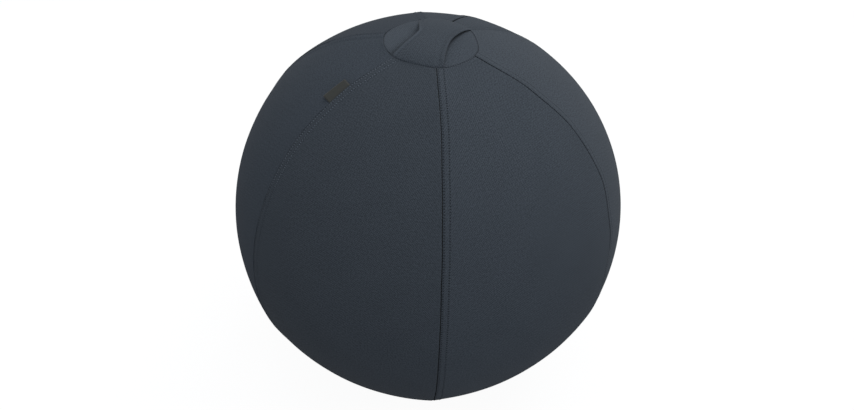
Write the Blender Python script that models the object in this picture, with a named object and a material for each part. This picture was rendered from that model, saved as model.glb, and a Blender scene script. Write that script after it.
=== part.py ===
"""Sitting ball: an air bladder in a sewn cover with a carry handle, a rear zip and a weighted base.

Units are metres and +Z is up. The origin is on the floor, under the middle of the base.
Azimuth 0 is the front (-Y) and grows towards +X. Polar angles start at the top of the ball.
"""

from math import acos, asin, ceil, cos, pi, radians, sin, sqrt

import bmesh
import bpy
from mathutils import Matrix, Vector

MM = 0.001

# Driving dimensions of the ball
BALL_DIAMETER = 650 * MM
BASE_RADIUS = 95 * MM
BASE_STANDOFF = 1.5 * MM
CAP_RADIUS = 73 * MM
GORE_COUNT = 6
GORE_FLATTENING = 4 * MM

# Cover cloth and its felled seams, raised along each panel's left edge
CLOTH_THICKNESS = 1.2 * MM
SEAM_GAP = 0.3 * MM
SEAM_BAND_WIDTH = 12 * MM
SEAM_BAND_RISE = 0.8 * MM
SEAM_BAND_SLOPE = 1.5 * MM

# Clearance between pieces that touch on the real ball
FIT_GAP = 0.3 * MM

# Carry handle, a hemmed strap sewn to the cap's rim at both ends
HANDLE_END_WIDTH = 82 * MM
HANDLE_WAIST_WIDTH = 59 * MM
HANDLE_TURN = radians(4)
HANDLE_LIFT = 4.8 * MM
HANDLE_THICKNESS = 2.2 * MM
HANDLE_END_THICKNESS = 1.2 * MM
HANDLE_HEM_WIDTH = 9 * MM
HANDLE_HEM_RISE = 0.6 * MM
HANDLE_HEM_SLOPE = 1.2 * MM

# Folded tab caught in the seam left of the front panel
TAB_POLAR = radians(30.8)
TAB_LENGTH = 40 * MM
TAB_REACH = 15 * MM
TAB_THICKNESS = 1.4 * MM
TAB_LIFT_ANGLE = radians(11)

# Weighted base
GRIP_PAD_MARGIN = 11 * MM
GRIP_PAD_THICKNESS = 1.2 * MM
GRIP_GROOVE_WIDTH = 4 * MM
GRIP_GROOVE_DEPTH = 0.5 * MM
GRIP_GROOVE_INSETS = (16 * MM, 32 * MM)
BALLAST_THICKNESS = 14 * MM
BALLAST_SHOULDER = 4 * MM
BALLAST_SIDE_CLEARANCE = 4.5 * MM
POCKET_THICKNESS = 0.8 * MM

# Bladder and its valve
BLADDER_WALL = 1.2 * MM
VALVE_AZIMUTH = radians(155)
VALVE_BORE_RADIUS = 4.3 * MM
VALVE_NECK_RADIUS = 9 * MM
VALVE_FLANGE_RADIUS = 14 * MM
VALVE_FLANGE_THICKNESS = 2 * MM
VALVE_LIP_RADIUS = 13 * MM
VALVE_LIP_THICKNESS = 1.6 * MM
VALVE_TUBE_RADIUS = 7.5 * MM
VALVE_TUBE_LENGTH = 9 * MM
PLUG_HEAD_RADIUS = 7 * MM
PLUG_HEAD_THICKNESS = 2 * MM
PLUG_TIP_LENGTH = 5 * MM
PLUG_TIP_RADIUS = 2.4 * MM
PLUG_WAIST = 0.7 * MM

# Rear zip, set along the middle of the rear gore
ZIP_TOP_POLAR = radians(74)
ZIP_LENGTH = 350 * MM
ZIP_OPENING_WIDTH = 15 * MM
ZIP_MARGIN = 9 * MM
ZIP_SINK = 0.6 * MM
ZIP_TAPE_WIDTH = 13 * MM
ZIP_TAPE_THICKNESS = 0.7 * MM
ZIP_CORD_WIDTH = 1.3 * MM
ZIP_TOOTH_PITCH = 4.5 * MM
ZIP_TOOTH_REACH = 3.6 * MM
ZIP_TOOTH_OVERLAP = 1.1 * MM
ZIP_TOOTH_THICKNESS = 2.6 * MM
ZIP_TOOTH_TAPER = 0.15 * MM
ZIP_STOP_LENGTH = 4 * MM

# Zip slider and pull
SLIDER_LENGTH = 15 * MM
SLIDER_SHOULDER_WIDTH = 13 * MM
SLIDER_MOUTH_WIDTH = 11 * MM
SLIDER_PLATE = 1.4 * MM
SLIDER_CLEARANCE = 0.4 * MM
SLIDER_NECK_WIDTH = 2.6 * MM
SLIDER_NECK_LENGTH = 4 * MM
SLIDER_EDGE_BEVEL = 0.45 * MM
BRIDGE_LENGTH = 10 * MM
BRIDGE_WIDTH = 2 * MM
BRIDGE_THICKNESS = 1.4 * MM
PULL_LENGTH = 34 * MM
PULL_WIDTH = 8.4 * MM
PULL_THICKNESS = 1.6 * MM
PULL_WINDOW_WIDTH = 5 * MM
PULL_WINDOW_LENGTH = 7 * MM
PULL_BAR = 1.6 * MM
PULL_CORNER = 2.5 * MM
PULL_PLAY = 0.4 * MM

# Facet counts
GORE_COLUMNS = 7
GORE_ROWS = 16
ZIP_ROWS = 18
TURNED_SIDES = 36
BALLAST_SIDES = 24
VALVE_SIDES = 16
HANDLE_ROWS = 18
BLADDER_ROW_ANGLE = radians(10)

# Sizes that follow from those above
BALL_RADIUS = BALL_DIAMETER / 2
BALL_CENTRE = Vector((0, 0, sqrt(BALL_RADIUS**2 - BASE_RADIUS**2) + BASE_STANDOFF))
GORE_ANGLE = 2 * pi / GORE_COUNT
GRIP_PAD_RADIUS = BASE_RADIUS - GRIP_PAD_MARGIN
COVER_TOP_POLAR = asin((CAP_RADIUS + SEAM_GAP / 2) / BALL_RADIUS)
COVER_BOTTOM_POLAR = pi - asin((BASE_RADIUS + SEAM_GAP / 2) / BALL_RADIUS)
ROW_ANGLE = (COVER_BOTTOM_POLAR - COVER_TOP_POLAR) / GORE_ROWS
FACET_DIP = BALL_RADIUS * (2 - cos(ROW_ANGLE / 2) - cos(GORE_ANGLE / GORE_COLUMNS / 2))
BLADDER_RADIUS = BALL_RADIUS - GORE_FLATTENING - CLOTH_THICKNESS - FACET_DIP - FIT_GAP
CHAIN_RADIUS = BALL_RADIUS - CLOTH_THICKNESS - ZIP_SINK - ZIP_TAPE_THICKNESS / 2
TAPE_INNER_EDGE = ZIP_TOOTH_REACH + FIT_GAP
BASE_PANEL_TOP = BASE_STANDOFF + CLOTH_THICKNESS
BALLAST_BOTTOM = BASE_PANEL_TOP + FIT_GAP
BALLAST_TOP = BALLAST_BOTTOM + BALLAST_THICKNESS
POCKET_TOP = BALLAST_TOP + FIT_GAP + POCKET_THICKNESS
BLADDER_BOTTOM = POCKET_TOP + FIT_GAP

# Places along the zip, as lengths from its upper end
END_STOP_START = ZIP_MARGIN + FIT_GAP
TEETH_START = END_STOP_START + ZIP_STOP_LENGTH + FIT_GAP
LOWER_STOP_START = ZIP_LENGTH - ZIP_MARGIN - ZIP_STOP_LENGTH - FIT_GAP
SLIDER_MIDDLE = LOWER_STOP_START - FIT_GAP - SLIDER_LENGTH / 2
NECK_START = SLIDER_MIDDLE + SLIDER_LENGTH / 2 - SLIDER_NECK_LENGTH
TEETH_END = NECK_START - SLIDER_CLEARANCE

# Heights above the middle of the zip chain
CHANNEL_HALF_HEIGHT = ZIP_TOOTH_THICKNESS / 2 + SLIDER_CLEARANCE
SLIDER_TOP = CHANNEL_HALF_HEIGHT + SLIDER_PLATE
STOP_HALF_HEIGHT = CHANNEL_HALF_HEIGHT + SLIDER_PLATE / 2
PULL_AXIS_HEIGHT = SLIDER_TOP + PULL_PLAY + PULL_BAR / 2
BRIDGE_TOP = PULL_AXIS_HEIGHT + PULL_BAR / 2 + PULL_PLAY + BRIDGE_THICKNESS


def clear_scene():
    for old in list(bpy.data.objects):
        bpy.data.objects.remove(old)


def material(name, colour, roughness, metallic=0.0):
    made = bpy.data.materials.new(name)
    made.use_nodes = True
    shader = made.node_tree.nodes["Principled BSDF"]
    shader.inputs["Base Color"].default_value = (*colour, 1)
    shader.inputs["Roughness"].default_value = roughness
    shader.inputs["Metallic"].default_value = metallic
    return made


def add_object(name, work, finish, smooth_angle=radians(35)):
    """Turns a bmesh into a named object with its material, shaded smooth up to an edge angle."""
    bmesh.ops.recalc_face_normals(work, faces=work.faces)
    mesh = bpy.data.meshes.new(name)
    work.to_mesh(mesh)
    work.free()
    mesh.shade_smooth()
    mesh.set_sharp_from_angle(angle=smooth_angle)
    made = bpy.data.objects.new(name, mesh)
    made.data.materials.append(finish)
    bpy.context.scene.collection.objects.link(made)
    return made


def add_empty(name, place):
    made = bpy.data.objects.new(name, None)
    made.location = place
    bpy.context.scene.collection.objects.link(made)
    return made


def apply_boolean(target, tool, operation):
    """Cuts or joins a tool object into the target, then removes the tool."""
    modifier = target.modifiers.new(operation.lower(), "BOOLEAN")
    modifier.operation = operation
    modifier.object = tool
    modifier.solver = "EXACT"
    graph = bpy.context.evaluated_depsgraph_get()
    result = bpy.data.meshes.new_from_object(target.evaluated_get(graph))
    target.modifiers.clear()
    target.data = result
    bpy.data.objects.remove(tool)


def direction(polar, azimuth):
    return Vector((sin(polar) * sin(azimuth), -sin(polar) * cos(azimuth), cos(polar)))


def on_ball(polar, azimuth, radius):
    return BALL_CENTRE + direction(polar, azimuth) * radius


def steps(start, end, count):
    return [start + (end - start) * i / count for i in range(count + 1)]


def loft_strip(sections):
    """Closed solid through matching sections, each a pair of point lists: the outer side and the inner side."""
    work = bmesh.new()
    rings = []
    for outer, inner in sections:
        outer_row = [work.verts.new(point) for point in outer]
        inner_row = [work.verts.new(point) for point in inner]
        rings.append(outer_row + inner_row[::-1])
    size = len(rings[0])
    for ring, following in zip(rings, rings[1:]):
        for i in range(size):
            j = (i + 1) % size
            work.faces.new((ring[i], ring[j], following[j], following[i]))
    for ring in (rings[0], rings[-1]):
        for i in range(size // 2 - 1):
            work.faces.new((ring[i], ring[i + 1], ring[-2 - i], ring[-1 - i]))
    return work


def turned(profile, sides):
    """Solid of revolution about Z from (radius, height) points, closed on itself or ending on the axis."""
    work = bmesh.new()
    ring = [work.verts.new((radius, 0, height)) for radius, height in profile]
    edges = [work.edges.new(pair) for pair in zip(ring, ring[1:])]
    if profile[0][0] > 0:
        edges.append(work.edges.new((ring[-1], ring[0])))
    bmesh.ops.spin(
        work, geom=ring + edges, cent=(0, 0, 0), axis=(0, 0, 1), angle=2 * pi, steps=sides, use_merge=True
    )
    bmesh.ops.remove_doubles(work, verts=work.verts, dist=0.01 * MM)
    return work


def prism(outline, low, high):
    """Straight solid with a flat outline of (x, y) points, from a low to a high z."""
    work = bmesh.new()
    face = work.faces.new([work.verts.new((x, y, low)) for x, y in outline])
    grown = bmesh.ops.extrude_face_region(work, geom=[face])
    moved = [item for item in grown["geom"] if isinstance(item, bmesh.types.BMVert)]
    bmesh.ops.translate(work, vec=(0, 0, high - low), verts=moved)
    return work


def rectangle(x_low, x_high, y_low, y_high):
    return [(x_low, y_low), (x_high, y_low), (x_high, y_high), (x_low, y_high)]


def arc_profile(radius, start, end, count, centre_height):
    """(radius, height) points on an arc round the ball's centre line, between two polar angles."""
    return [(radius * sin(p), centre_height + radius * cos(p)) for p in steps(start, end, count)]


# Cover panels


def bulge_share(polar):
    """Share of the flattening at a polar angle: none at the cap and the base, full between them."""
    middle = (COVER_TOP_POLAR + COVER_BOTTOM_POLAR) / 2
    half = (COVER_BOTTOM_POLAR - COVER_TOP_POLAR) / 2
    return max(0.0, 1 - abs((polar - middle) / half) ** 4)


def zip_polar(length):
    """Polar angle at a length along the zip from its upper end."""
    return ZIP_TOP_POLAR + length / CHAIN_RADIUS


def seam_inset(polar):
    return SEAM_GAP / 2


def zip_edge_inset(polar):
    """Inset of a rear half panel from the middle of the zip: closed above and below, open along the chain."""
    length = (polar - ZIP_TOP_POLAR) * CHAIN_RADIUS
    into_opening = min(length - ZIP_MARGIN, ZIP_LENGTH - ZIP_MARGIN - length)
    share = min(1.0, max(0.0, 1 + into_opening / ZIP_MARGIN))
    return SEAM_GAP / 2 + (ZIP_OPENING_WIDTH - SEAM_GAP) / 2 * share


def cover_rows():
    return steps(COVER_TOP_POLAR, COVER_BOTTOM_POLAR, GORE_ROWS)


def rear_rows():
    """Rows of the rear half panels: close together along the zip, so that its tapes lie on them."""
    along_zip = [zip_polar(ZIP_MARGIN), *(zip_rows()), zip_polar(ZIP_LENGTH - ZIP_MARGIN)]
    spare = ROW_ANGLE / 3
    plain = [p for p in cover_rows() if p < along_zip[1] - spare or p > along_zip[-2] + spare]
    return sorted(plain + along_zip)


def zip_rows():
    return [zip_polar(length) for length in steps(0, ZIP_LENGTH, ZIP_ROWS)]


def panel_section(polar, left, right, columns, left_inset, right_inset):
    """Outer and inner points of a panel across one row, with the felled seam raised along the left edge."""
    circle = BALL_RADIUS * sin(polar)
    start = left + left_inset(polar) / circle
    end = right - right_inset(polar) / circle
    band_end = start + SEAM_BAND_WIDTH / circle
    slope_end = band_end + SEAM_BAND_SLOPE / circle
    angles = [start, band_end, *steps(slope_end, end, columns)]
    rises = [SEAM_BAND_RISE, SEAM_BAND_RISE] + [0.0] * (columns + 1)
    flattening = GORE_FLATTENING * ((right - left) / GORE_ANGLE) ** 2 * bulge_share(polar)
    outer, inner = [], []
    for angle, rise in zip(angles, rises):
        across = (angle - left) / (right - left)
        radius = BALL_RADIUS - flattening * 4 * across * (1 - across)
        outer.append(on_ball(polar, angle, radius + rise))
        inner.append(on_ball(polar, angle, radius - CLOTH_THICKNESS))
    return outer, inner


def cover_panel(name, left, right, columns, rows, left_inset, right_inset, finish):
    sections = [panel_section(polar, left, right, columns, left_inset, right_inset) for polar in rows]
    return add_object(name, loft_strip(sections), finish)


def make_cover_panels(finish):
    """Five whole gores and, at the rear, one gore split in two halves by the zip."""
    whole = ("front", "front_right", "back_right", "rear", "back_left", "front_left")
    for index, place in enumerate(whole):
        left = (index - 0.5) * GORE_ANGLE
        right = left + GORE_ANGLE
        if place != "rear":
            cover_panel(
                f"cover_panel_{place}", left, right, GORE_COLUMNS, cover_rows(), seam_inset, seam_inset, finish
            )
            continue
        middle = (left + right) / 2
        columns = ceil(GORE_COLUMNS / 2)
        cover_panel(
            "cover_half_panel_right", left, middle, columns, rear_rows(), seam_inset, zip_edge_inset, finish
        )
        cover_panel(
            "cover_half_panel_left", middle, right, columns, rear_rows(), zip_edge_inset, seam_inset, finish
        )


# Cap, handle and tab


def make_top_cap(finish):
    rim_polar = asin((CAP_RADIUS - SEAM_GAP / 2) / BALL_RADIUS)
    outer = arc_profile(BALL_RADIUS, 0, rim_polar, 4, BALL_CENTRE.z)
    inner = arc_profile(BALL_RADIUS - CLOTH_THICKNESS, rim_polar, 0, 4, BALL_CENTRE.z)
    return add_object("top_cap", turned(outer + inner, TURNED_SIDES), finish)


def handle_section(along):
    """Upper and lower points across the strap, at a place from -1 at the front rim to 1 at the rear.

    The strap is pulled straight across its middle and follows the cap's curve at its sewn ends.
    """
    half = (HANDLE_WAIST_WIDTH + (HANDLE_END_WIDTH - HANDLE_WAIST_WIDTH) * along**2) / 2
    rim = CAP_RADIUS - SEAM_GAP
    lift = HANDLE_LIFT * (1 - along**4)
    thickness = HANDLE_THICKNESS + (HANDLE_END_THICKNESS - HANDLE_THICKNESS) * along**8
    hem_rise = HANDLE_HEM_RISE * (1 - along**8)
    hem = half - HANDLE_HEM_WIDTH
    flat = hem - HANDLE_HEM_SLOPE
    right_side = [(half, hem_rise), (hem, hem_rise), (flat, 0), (flat / 2, 0)]
    left_side = [(-across, rise) for across, rise in reversed(right_side)]
    turn = Matrix.Rotation(HANDLE_TURN, 3, "Z")
    upper, lower = [], []
    for across, rise in right_side + [(0, 0)] + left_side:
        forward = along * sqrt(rim**2 - across**2)
        curved = across * along**2
        level = BALL_CENTRE.z + sqrt(BALL_RADIUS**2 - curved**2 - forward**2) + FIT_GAP + lift
        upper.append(turn @ Vector((across, forward, level + thickness + rise)))
        lower.append(turn @ Vector((across, forward, level)))
    return upper, lower


def make_carry_handle(finish):
    sections = [handle_section(along) for along in steps(-1, 1, HANDLE_ROWS)]
    return add_object("carry_handle", loft_strip(sections), finish)


def make_side_tab(finish):
    """Folded cloth tab that comes out of the seam left of the front panel and lies over the next panel."""
    seam = -GORE_ANGLE / 2
    half_angle = TAB_LENGTH / 2 / BALL_RADIUS
    sections = []
    for polar in steps(TAB_POLAR - half_angle, TAB_POLAR + half_angle, 6):
        circle = BALL_RADIUS * sin(polar)
        outer, inner = [], []
        for reach in steps(0, TAB_REACH, 3):
            angle = seam - reach / circle
            height = FIT_GAP + reach * sin(TAB_LIFT_ANGLE)
            inner.append(on_ball(polar, angle, BALL_RADIUS + height))
            outer.append(on_ball(polar, angle, BALL_RADIUS + height + TAB_THICKNESS))
        sections.append((outer, inner))
    return add_object("side_tab", loft_strip(sections), finish)


# Weighted base


def make_base_panel(finish):
    """Flat cloth disc whose edge leans in with the lower edges of the gores round it."""
    radius = BASE_RADIUS - SEAM_GAP / 2
    upper = radius * (1 - CLOTH_THICKNESS / BALL_RADIUS) - SEAM_GAP / 2
    profile = [(0, BASE_PANEL_TOP), (upper, BASE_PANEL_TOP), (radius, BASE_STANDOFF), (0, BASE_STANDOFF)]
    return add_object("base_panel", turned(profile, TURNED_SIDES), finish)


def make_grip_pad(finish):
    """Rubber disc under the base panel with grooves turned into its underside."""
    top = BASE_STANDOFF - FIT_GAP
    bottom = top - GRIP_PAD_THICKNESS
    profile = [(0, top), (GRIP_PAD_RADIUS, top), (GRIP_PAD_RADIUS, bottom)]
    for inset in GRIP_GROOVE_INSETS:
        radius = GRIP_PAD_RADIUS - inset
        outer, inner = radius + GRIP_GROOVE_WIDTH / 2, radius - GRIP_GROOVE_WIDTH / 2
        depth = bottom + GRIP_GROOVE_DEPTH
        profile += [(outer, bottom), (outer, depth), (inner, depth), (inner, bottom)]
    profile.append((0, bottom))
    return add_object("grip_pad", turned(profile, TURNED_SIDES), finish)


def inside_cover(height, clearance):
    """Radius about the centre line, at a height, that stays this far inside the cover."""
    radius = BALL_RADIUS - CLOTH_THICKNESS - clearance
    return sqrt(radius**2 - (BALL_CENTRE.z - height) ** 2)


def ballast_side(outset):
    """(radius, height) points up the ballast's side and over its rounded shoulder, moved out by an outset."""
    heights = steps(BALLAST_BOTTOM, BALLAST_TOP - BALLAST_SHOULDER, 3)
    points = [(inside_cover(z, BALLAST_SIDE_CLEARANCE) + outset, z) for z in heights]
    centre_radius = points[-1][0] - outset - BALLAST_SHOULDER
    for turn in steps(0, pi / 2, 3)[1:]:
        reach = BALLAST_SHOULDER + outset
        points.append((centre_radius + reach * cos(turn), heights[-1] + reach * sin(turn)))
    return points


def make_ballast_bag(finish):
    profile = [(0, BALLAST_BOTTOM), *ballast_side(0), (0, BALLAST_TOP)]
    return add_object("ballast_bag", turned(profile[::-1], BALLAST_SIDES), finish)


def make_ballast_pocket(finish):
    """Thin lining sewn over the ballast, which holds it on the base panel."""
    inner = [*ballast_side(FIT_GAP), (0, BALLAST_TOP + FIT_GAP)]
    outer = [*ballast_side(FIT_GAP + POCKET_THICKNESS), (0, POCKET_TOP)]
    return add_object("ballast_pocket", turned(outer[::-1] + inner, BALLAST_SIDES), finish)


# Bladder and valve


def bladder_side(radius, bottom):
    """(radius, height) points of a ball flattened below, from the top to the bottom of the centre line."""
    flat_polar = acos((bottom - BALL_CENTRE.z) / radius)
    count = int((flat_polar - BLADDER_ROW_ANGLE) / BLADDER_ROW_ANGLE)
    polars = [0] + [(i + 0.5) * BLADDER_ROW_ANGLE for i in range(count + 1)] + [flat_polar]
    points = [(radius * sin(p), BALL_CENTRE.z + radius * cos(p)) for p in polars]
    return points + [(0, bottom)]


def valve_frame():
    """Place on the bladder's flat facet behind the valve, and the way out of it."""
    half_step = BLADDER_ROW_ANGLE / 2
    reach = BLADDER_RADIUS * cos(half_step) * cos(pi / TURNED_SIDES)
    return BALL_CENTRE + direction(pi / 2, VALVE_AZIMUTH) * reach


def place_on_valve(piece):
    piece.location = valve_frame()
    piece.rotation_euler = (pi / 2, 0, VALVE_AZIMUTH)


def make_bladder(finish):
    outer = bladder_side(BLADDER_RADIUS, BLADDER_BOTTOM)
    inner = bladder_side(BLADDER_RADIUS - BLADDER_WALL, BLADDER_BOTTOM + BLADDER_WALL)
    work = turned(outer, TURNED_SIDES)
    bladder = add_object("bladder", work, finish)
    hollow = add_object("bladder_hollow", turned(inner, TURNED_SIDES), finish)
    apply_boolean(bladder, hollow, "DIFFERENCE")
    hole_radius = VALVE_NECK_RADIUS + FIT_GAP
    reach = 5 * BLADDER_WALL
    hole = turned([(0, reach), (hole_radius, reach), (hole_radius, -reach), (0, -reach)], VALVE_SIDES)
    cutter = add_object("valve_hole", hole, finish)
    place_on_valve(cutter)
    apply_boolean(bladder, cutter, "DIFFERENCE")
    return bladder


def make_valve_collar(finish):
    """Moulded collar through the bladder's wall: a lip outside, a flange inside and a tube for the plug."""
    lip_low = FIT_GAP
    lip_high = lip_low + VALVE_LIP_THICKNESS
    seat = lip_high - PLUG_HEAD_THICKNESS - FIT_GAP
    flange_high = -BLADDER_WALL - FIT_GAP
    flange_low = flange_high - VALVE_FLANGE_THICKNESS
    tube_low = flange_low - VALVE_TUBE_LENGTH
    head = PLUG_HEAD_RADIUS + FIT_GAP
    profile = [
        (VALVE_BORE_RADIUS, tube_low),
        (VALVE_BORE_RADIUS, seat),
        (head, seat),
        (head, lip_high),
        (VALVE_LIP_RADIUS - VALVE_LIP_THICKNESS, lip_high),
        (VALVE_LIP_RADIUS, lip_low),
        (VALVE_NECK_RADIUS, lip_low),
        (VALVE_NECK_RADIUS, flange_high),
        (VALVE_FLANGE_RADIUS, flange_high),
        (VALVE_FLANGE_RADIUS, flange_low),
        (VALVE_TUBE_RADIUS, flange_low),
        (VALVE_TUBE_RADIUS, tube_low),
    ]
    collar = add_object("valve_collar", turned(profile, VALVE_SIDES), finish)
    place_on_valve(collar)
    return collar


def make_valve_plug(finish):
    """Push-in plug: a flush head, a waisted stem with a sealing ring, and a tapered tip past the tube."""
    top = FIT_GAP + VALVE_LIP_THICKNESS
    head_low = top - PLUG_HEAD_THICKNESS
    stem = VALVE_BORE_RADIUS - FIT_GAP
    tube_low = -BLADDER_WALL - FIT_GAP - VALVE_FLANGE_THICKNESS - VALVE_TUBE_LENGTH
    ring_high = tube_low / 2
    profile = [
        (0, top),
        (PLUG_HEAD_RADIUS, top),
        (PLUG_HEAD_RADIUS, head_low),
        (stem, head_low),
        (stem - PLUG_WAIST, ring_high + 2 * PLUG_WAIST),
        (stem, ring_high),
        (stem, tube_low),
        (PLUG_TIP_RADIUS, tube_low - PLUG_TIP_LENGTH),
        (0, tube_low - PLUG_TIP_LENGTH),
    ]
    plug = add_object("valve_plug", turned(profile, VALVE_SIDES), finish)
    place_on_valve(plug)
    return plug


# Zip. Its pieces are drawn as seen from behind: x to the right, y up along the chain and z outwards.


def on_zip(length, across, height):
    """Point at a length from the zip's upper end, across the chain to the viewer's right, above its middle."""
    polar = zip_polar(length)
    centre = on_ball(polar, pi, CHAIN_RADIUS + height)
    return centre - Vector((across, 0, 0))


def tape_drop(length):
    """How far the cover's inside has fallen away from the zip at the tape's outer edge."""
    circle = BALL_RADIUS * sin(zip_polar(length))
    edge_angle = (TAPE_INNER_EDGE + ZIP_TAPE_WIDTH) / circle
    column_angle = GORE_ANGLE / 2 / ceil(GORE_COLUMNS / 2)
    return edge_angle * (circle * column_angle / 2 + GORE_FLATTENING / (GORE_ANGLE / 2))


def make_zip_tape(side, name, finish):
    """Tape that is level in the opening and follows the cover's inside beyond it."""
    half = ZIP_TAPE_THICKNESS / 2
    sections = []
    for length in steps(0, ZIP_LENGTH, ZIP_ROWS):
        outer_edge = (TAPE_INNER_EDGE + ZIP_TAPE_WIDTH, -tape_drop(length))
        places = ((TAPE_INNER_EDGE, 0), (ZIP_OPENING_WIDTH / 2, 0), outer_edge)
        upper = [on_zip(length, side * x, height + half) for x, height in places]
        lower = [on_zip(length, side * x, height - half) for x, height in places]
        sections.append((upper, lower))
    return add_object(name, loft_strip(sections), finish)


def make_zip_teeth(side, name, finish):
    """Half of the chain: teeth on a cord, each reaching past the middle between two teeth of the other half."""
    tooth = ZIP_TOOTH_PITCH / 2 - FIT_GAP
    start = TEETH_START + (0 if side > 0 else ZIP_TOOTH_PITCH / 2)
    count = int((TEETH_END - start - tooth) / ZIP_TOOTH_PITCH) + 1
    half = ZIP_TOOTH_THICKNESS / 2
    outer = side * ZIP_TOOTH_REACH
    root = side * (ZIP_TOOTH_REACH - ZIP_CORD_WIDTH)
    tip = -side * ZIP_TOOTH_OVERLAP
    work = bmesh.new()

    def pair(length, across):
        return [work.verts.new(on_zip(length, across, height)) for height in (half, -half)]

    def wall(first, second):
        work.faces.new((first[0], second[0], second[1], first[1]))

    first_outer = edge = pair(start, outer)
    first_root = base = pair(start, root)
    for index in range(count):
        low = start + index * ZIP_TOOTH_PITCH
        tip_low = pair(low + ZIP_TOOTH_TAPER, tip)
        tip_high = pair(low + tooth - ZIP_TOOTH_TAPER, tip)
        base_high = pair(low + tooth, root)
        last = index == count - 1
        next_edge = pair(low + (tooth if last else ZIP_TOOTH_PITCH), outer)
        next_base = base_high if last else pair(low + ZIP_TOOTH_PITCH, root)
        for i in (0, 1):
            work.faces.new((base[i], tip_low[i], tip_high[i], base_high[i]))
            corners = [edge[i], base[i], base_high[i], next_base[i], next_edge[i]]
            work.faces.new(corners[:3] + corners[4:] if last else corners)
        for ends in ((base, tip_low), (tip_low, tip_high), (tip_high, base_high), (edge, next_edge)):
            wall(*ends)
        if not last:
            wall(base_high, next_base)
        edge, base = next_edge, next_base
    wall(first_outer, first_root)
    wall(edge, base)
    return add_object(name, work, finish)


def make_zip_stop(name, start, x_low, x_high, finish):
    """Small metal block on the chain, too thick to enter the slider's channel, that stops the slider."""
    sections = []
    for length in (start, start + ZIP_STOP_LENGTH):
        upper = [on_zip(length, x, STOP_HALF_HEIGHT) for x in (x_low, x_high)]
        lower = [on_zip(length, x, -STOP_HALF_HEIGHT) for x in (x_low, x_high)]
        sections.append((upper, lower))
    return add_object(name, loft_strip(sections), finish)


def place_on_zip(piece, centre, length, height, polar):
    """Hangs a zip piece on the ball's centre, at a length along the chain and turned to face a polar angle."""
    piece.parent = centre
    piece.location = direction(zip_polar(length), pi) * (CHAIN_RADIUS + height)
    piece.rotation_euler = (polar, 0, pi)


def make_zip_slider(centre, finish):
    """Slider: two plates round the chain, joined by the neck at the end where the chain opens, and a bridge."""
    half = SLIDER_LENGTH / 2
    mouth = SLIDER_MOUTH_WIDTH / 2
    shoulder = SLIDER_SHOULDER_WIDTH / 2
    corner = half - SLIDER_PLATE
    outline = [
        (-shoulder, -corner),
        (-shoulder + SLIDER_PLATE, -half),
        (shoulder - SLIDER_PLATE, -half),
        (shoulder, -corner),
        (mouth, half),
        (-mouth, half),
    ]
    slider = add_object("zip_slider", prism(outline, -SLIDER_TOP, SLIDER_TOP), finish)
    bevel = slider.modifiers.new("soft_edges", "BEVEL")
    bevel.width = SLIDER_EDGE_BEVEL
    bevel.segments = 1
    channel = TAPE_INNER_EDGE + SLIDER_CLEARANCE
    slot = ZIP_TAPE_THICKNESS / 2 + SLIDER_CLEARANCE
    long, wide = SLIDER_LENGTH, SLIDER_SHOULDER_WIDTH
    cuts = (
        ("chain_channel", rectangle(-channel, channel, -long, long), CHANNEL_HALF_HEIGHT),
        ("tape_slot", rectangle(-wide, wide, -long, long), slot),
    )
    for name, shape, height in cuts:
        apply_boolean(slider, add_object(name, prism(shape, -height, height), finish), "DIFFERENCE")
    neck = SLIDER_NECK_WIDTH / 2
    neck_top = CHANNEL_HALF_HEIGHT + SLIDER_PLATE / 2
    neck_middle = -half + SLIDER_NECK_LENGTH / 2
    diamond = [(-neck, -half + SLIDER_PLATE / 2), (neck, -half + SLIDER_PLATE / 2), (neck, neck_middle)]
    diamond += [(0, -half + SLIDER_NECK_LENGTH), (-neck, neck_middle)]
    apply_boolean(slider, add_object("neck", prism(diamond, -neck_top, neck_top), finish), "UNION")
    apply_boolean(slider, make_bridge(finish), "UNION")
    place_on_zip(slider, centre, SLIDER_MIDDLE, 0, zip_polar(SLIDER_MIDDLE))
    return slider


def make_bridge(finish):
    """Arch on the slider's upper plate that carries the pull's bar, drawn as a side outline and turned up."""
    half = BRIDGE_LENGTH / 2
    foot = SLIDER_TOP - SLIDER_PLATE / 2
    under = BRIDGE_TOP - BRIDGE_THICKNESS
    shoulder = BRIDGE_THICKNESS
    outline = [
        (-half, foot),
        (-half + BRIDGE_THICKNESS, foot),
        (-half + BRIDGE_THICKNESS, under),
        (half - BRIDGE_THICKNESS, under),
        (half - BRIDGE_THICKNESS, foot),
        (half, foot),
        (half, BRIDGE_TOP - shoulder),
        (half - shoulder, BRIDGE_TOP),
        (-half + shoulder, BRIDGE_TOP),
        (-half, BRIDGE_TOP - shoulder),
    ]
    work = prism(outline, -BRIDGE_WIDTH / 2, BRIDGE_WIDTH / 2)
    for vert in work.verts:
        vert.co = Vector((vert.co.z, vert.co.x, vert.co.y))
    return add_object("bridge", work, finish)


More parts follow.
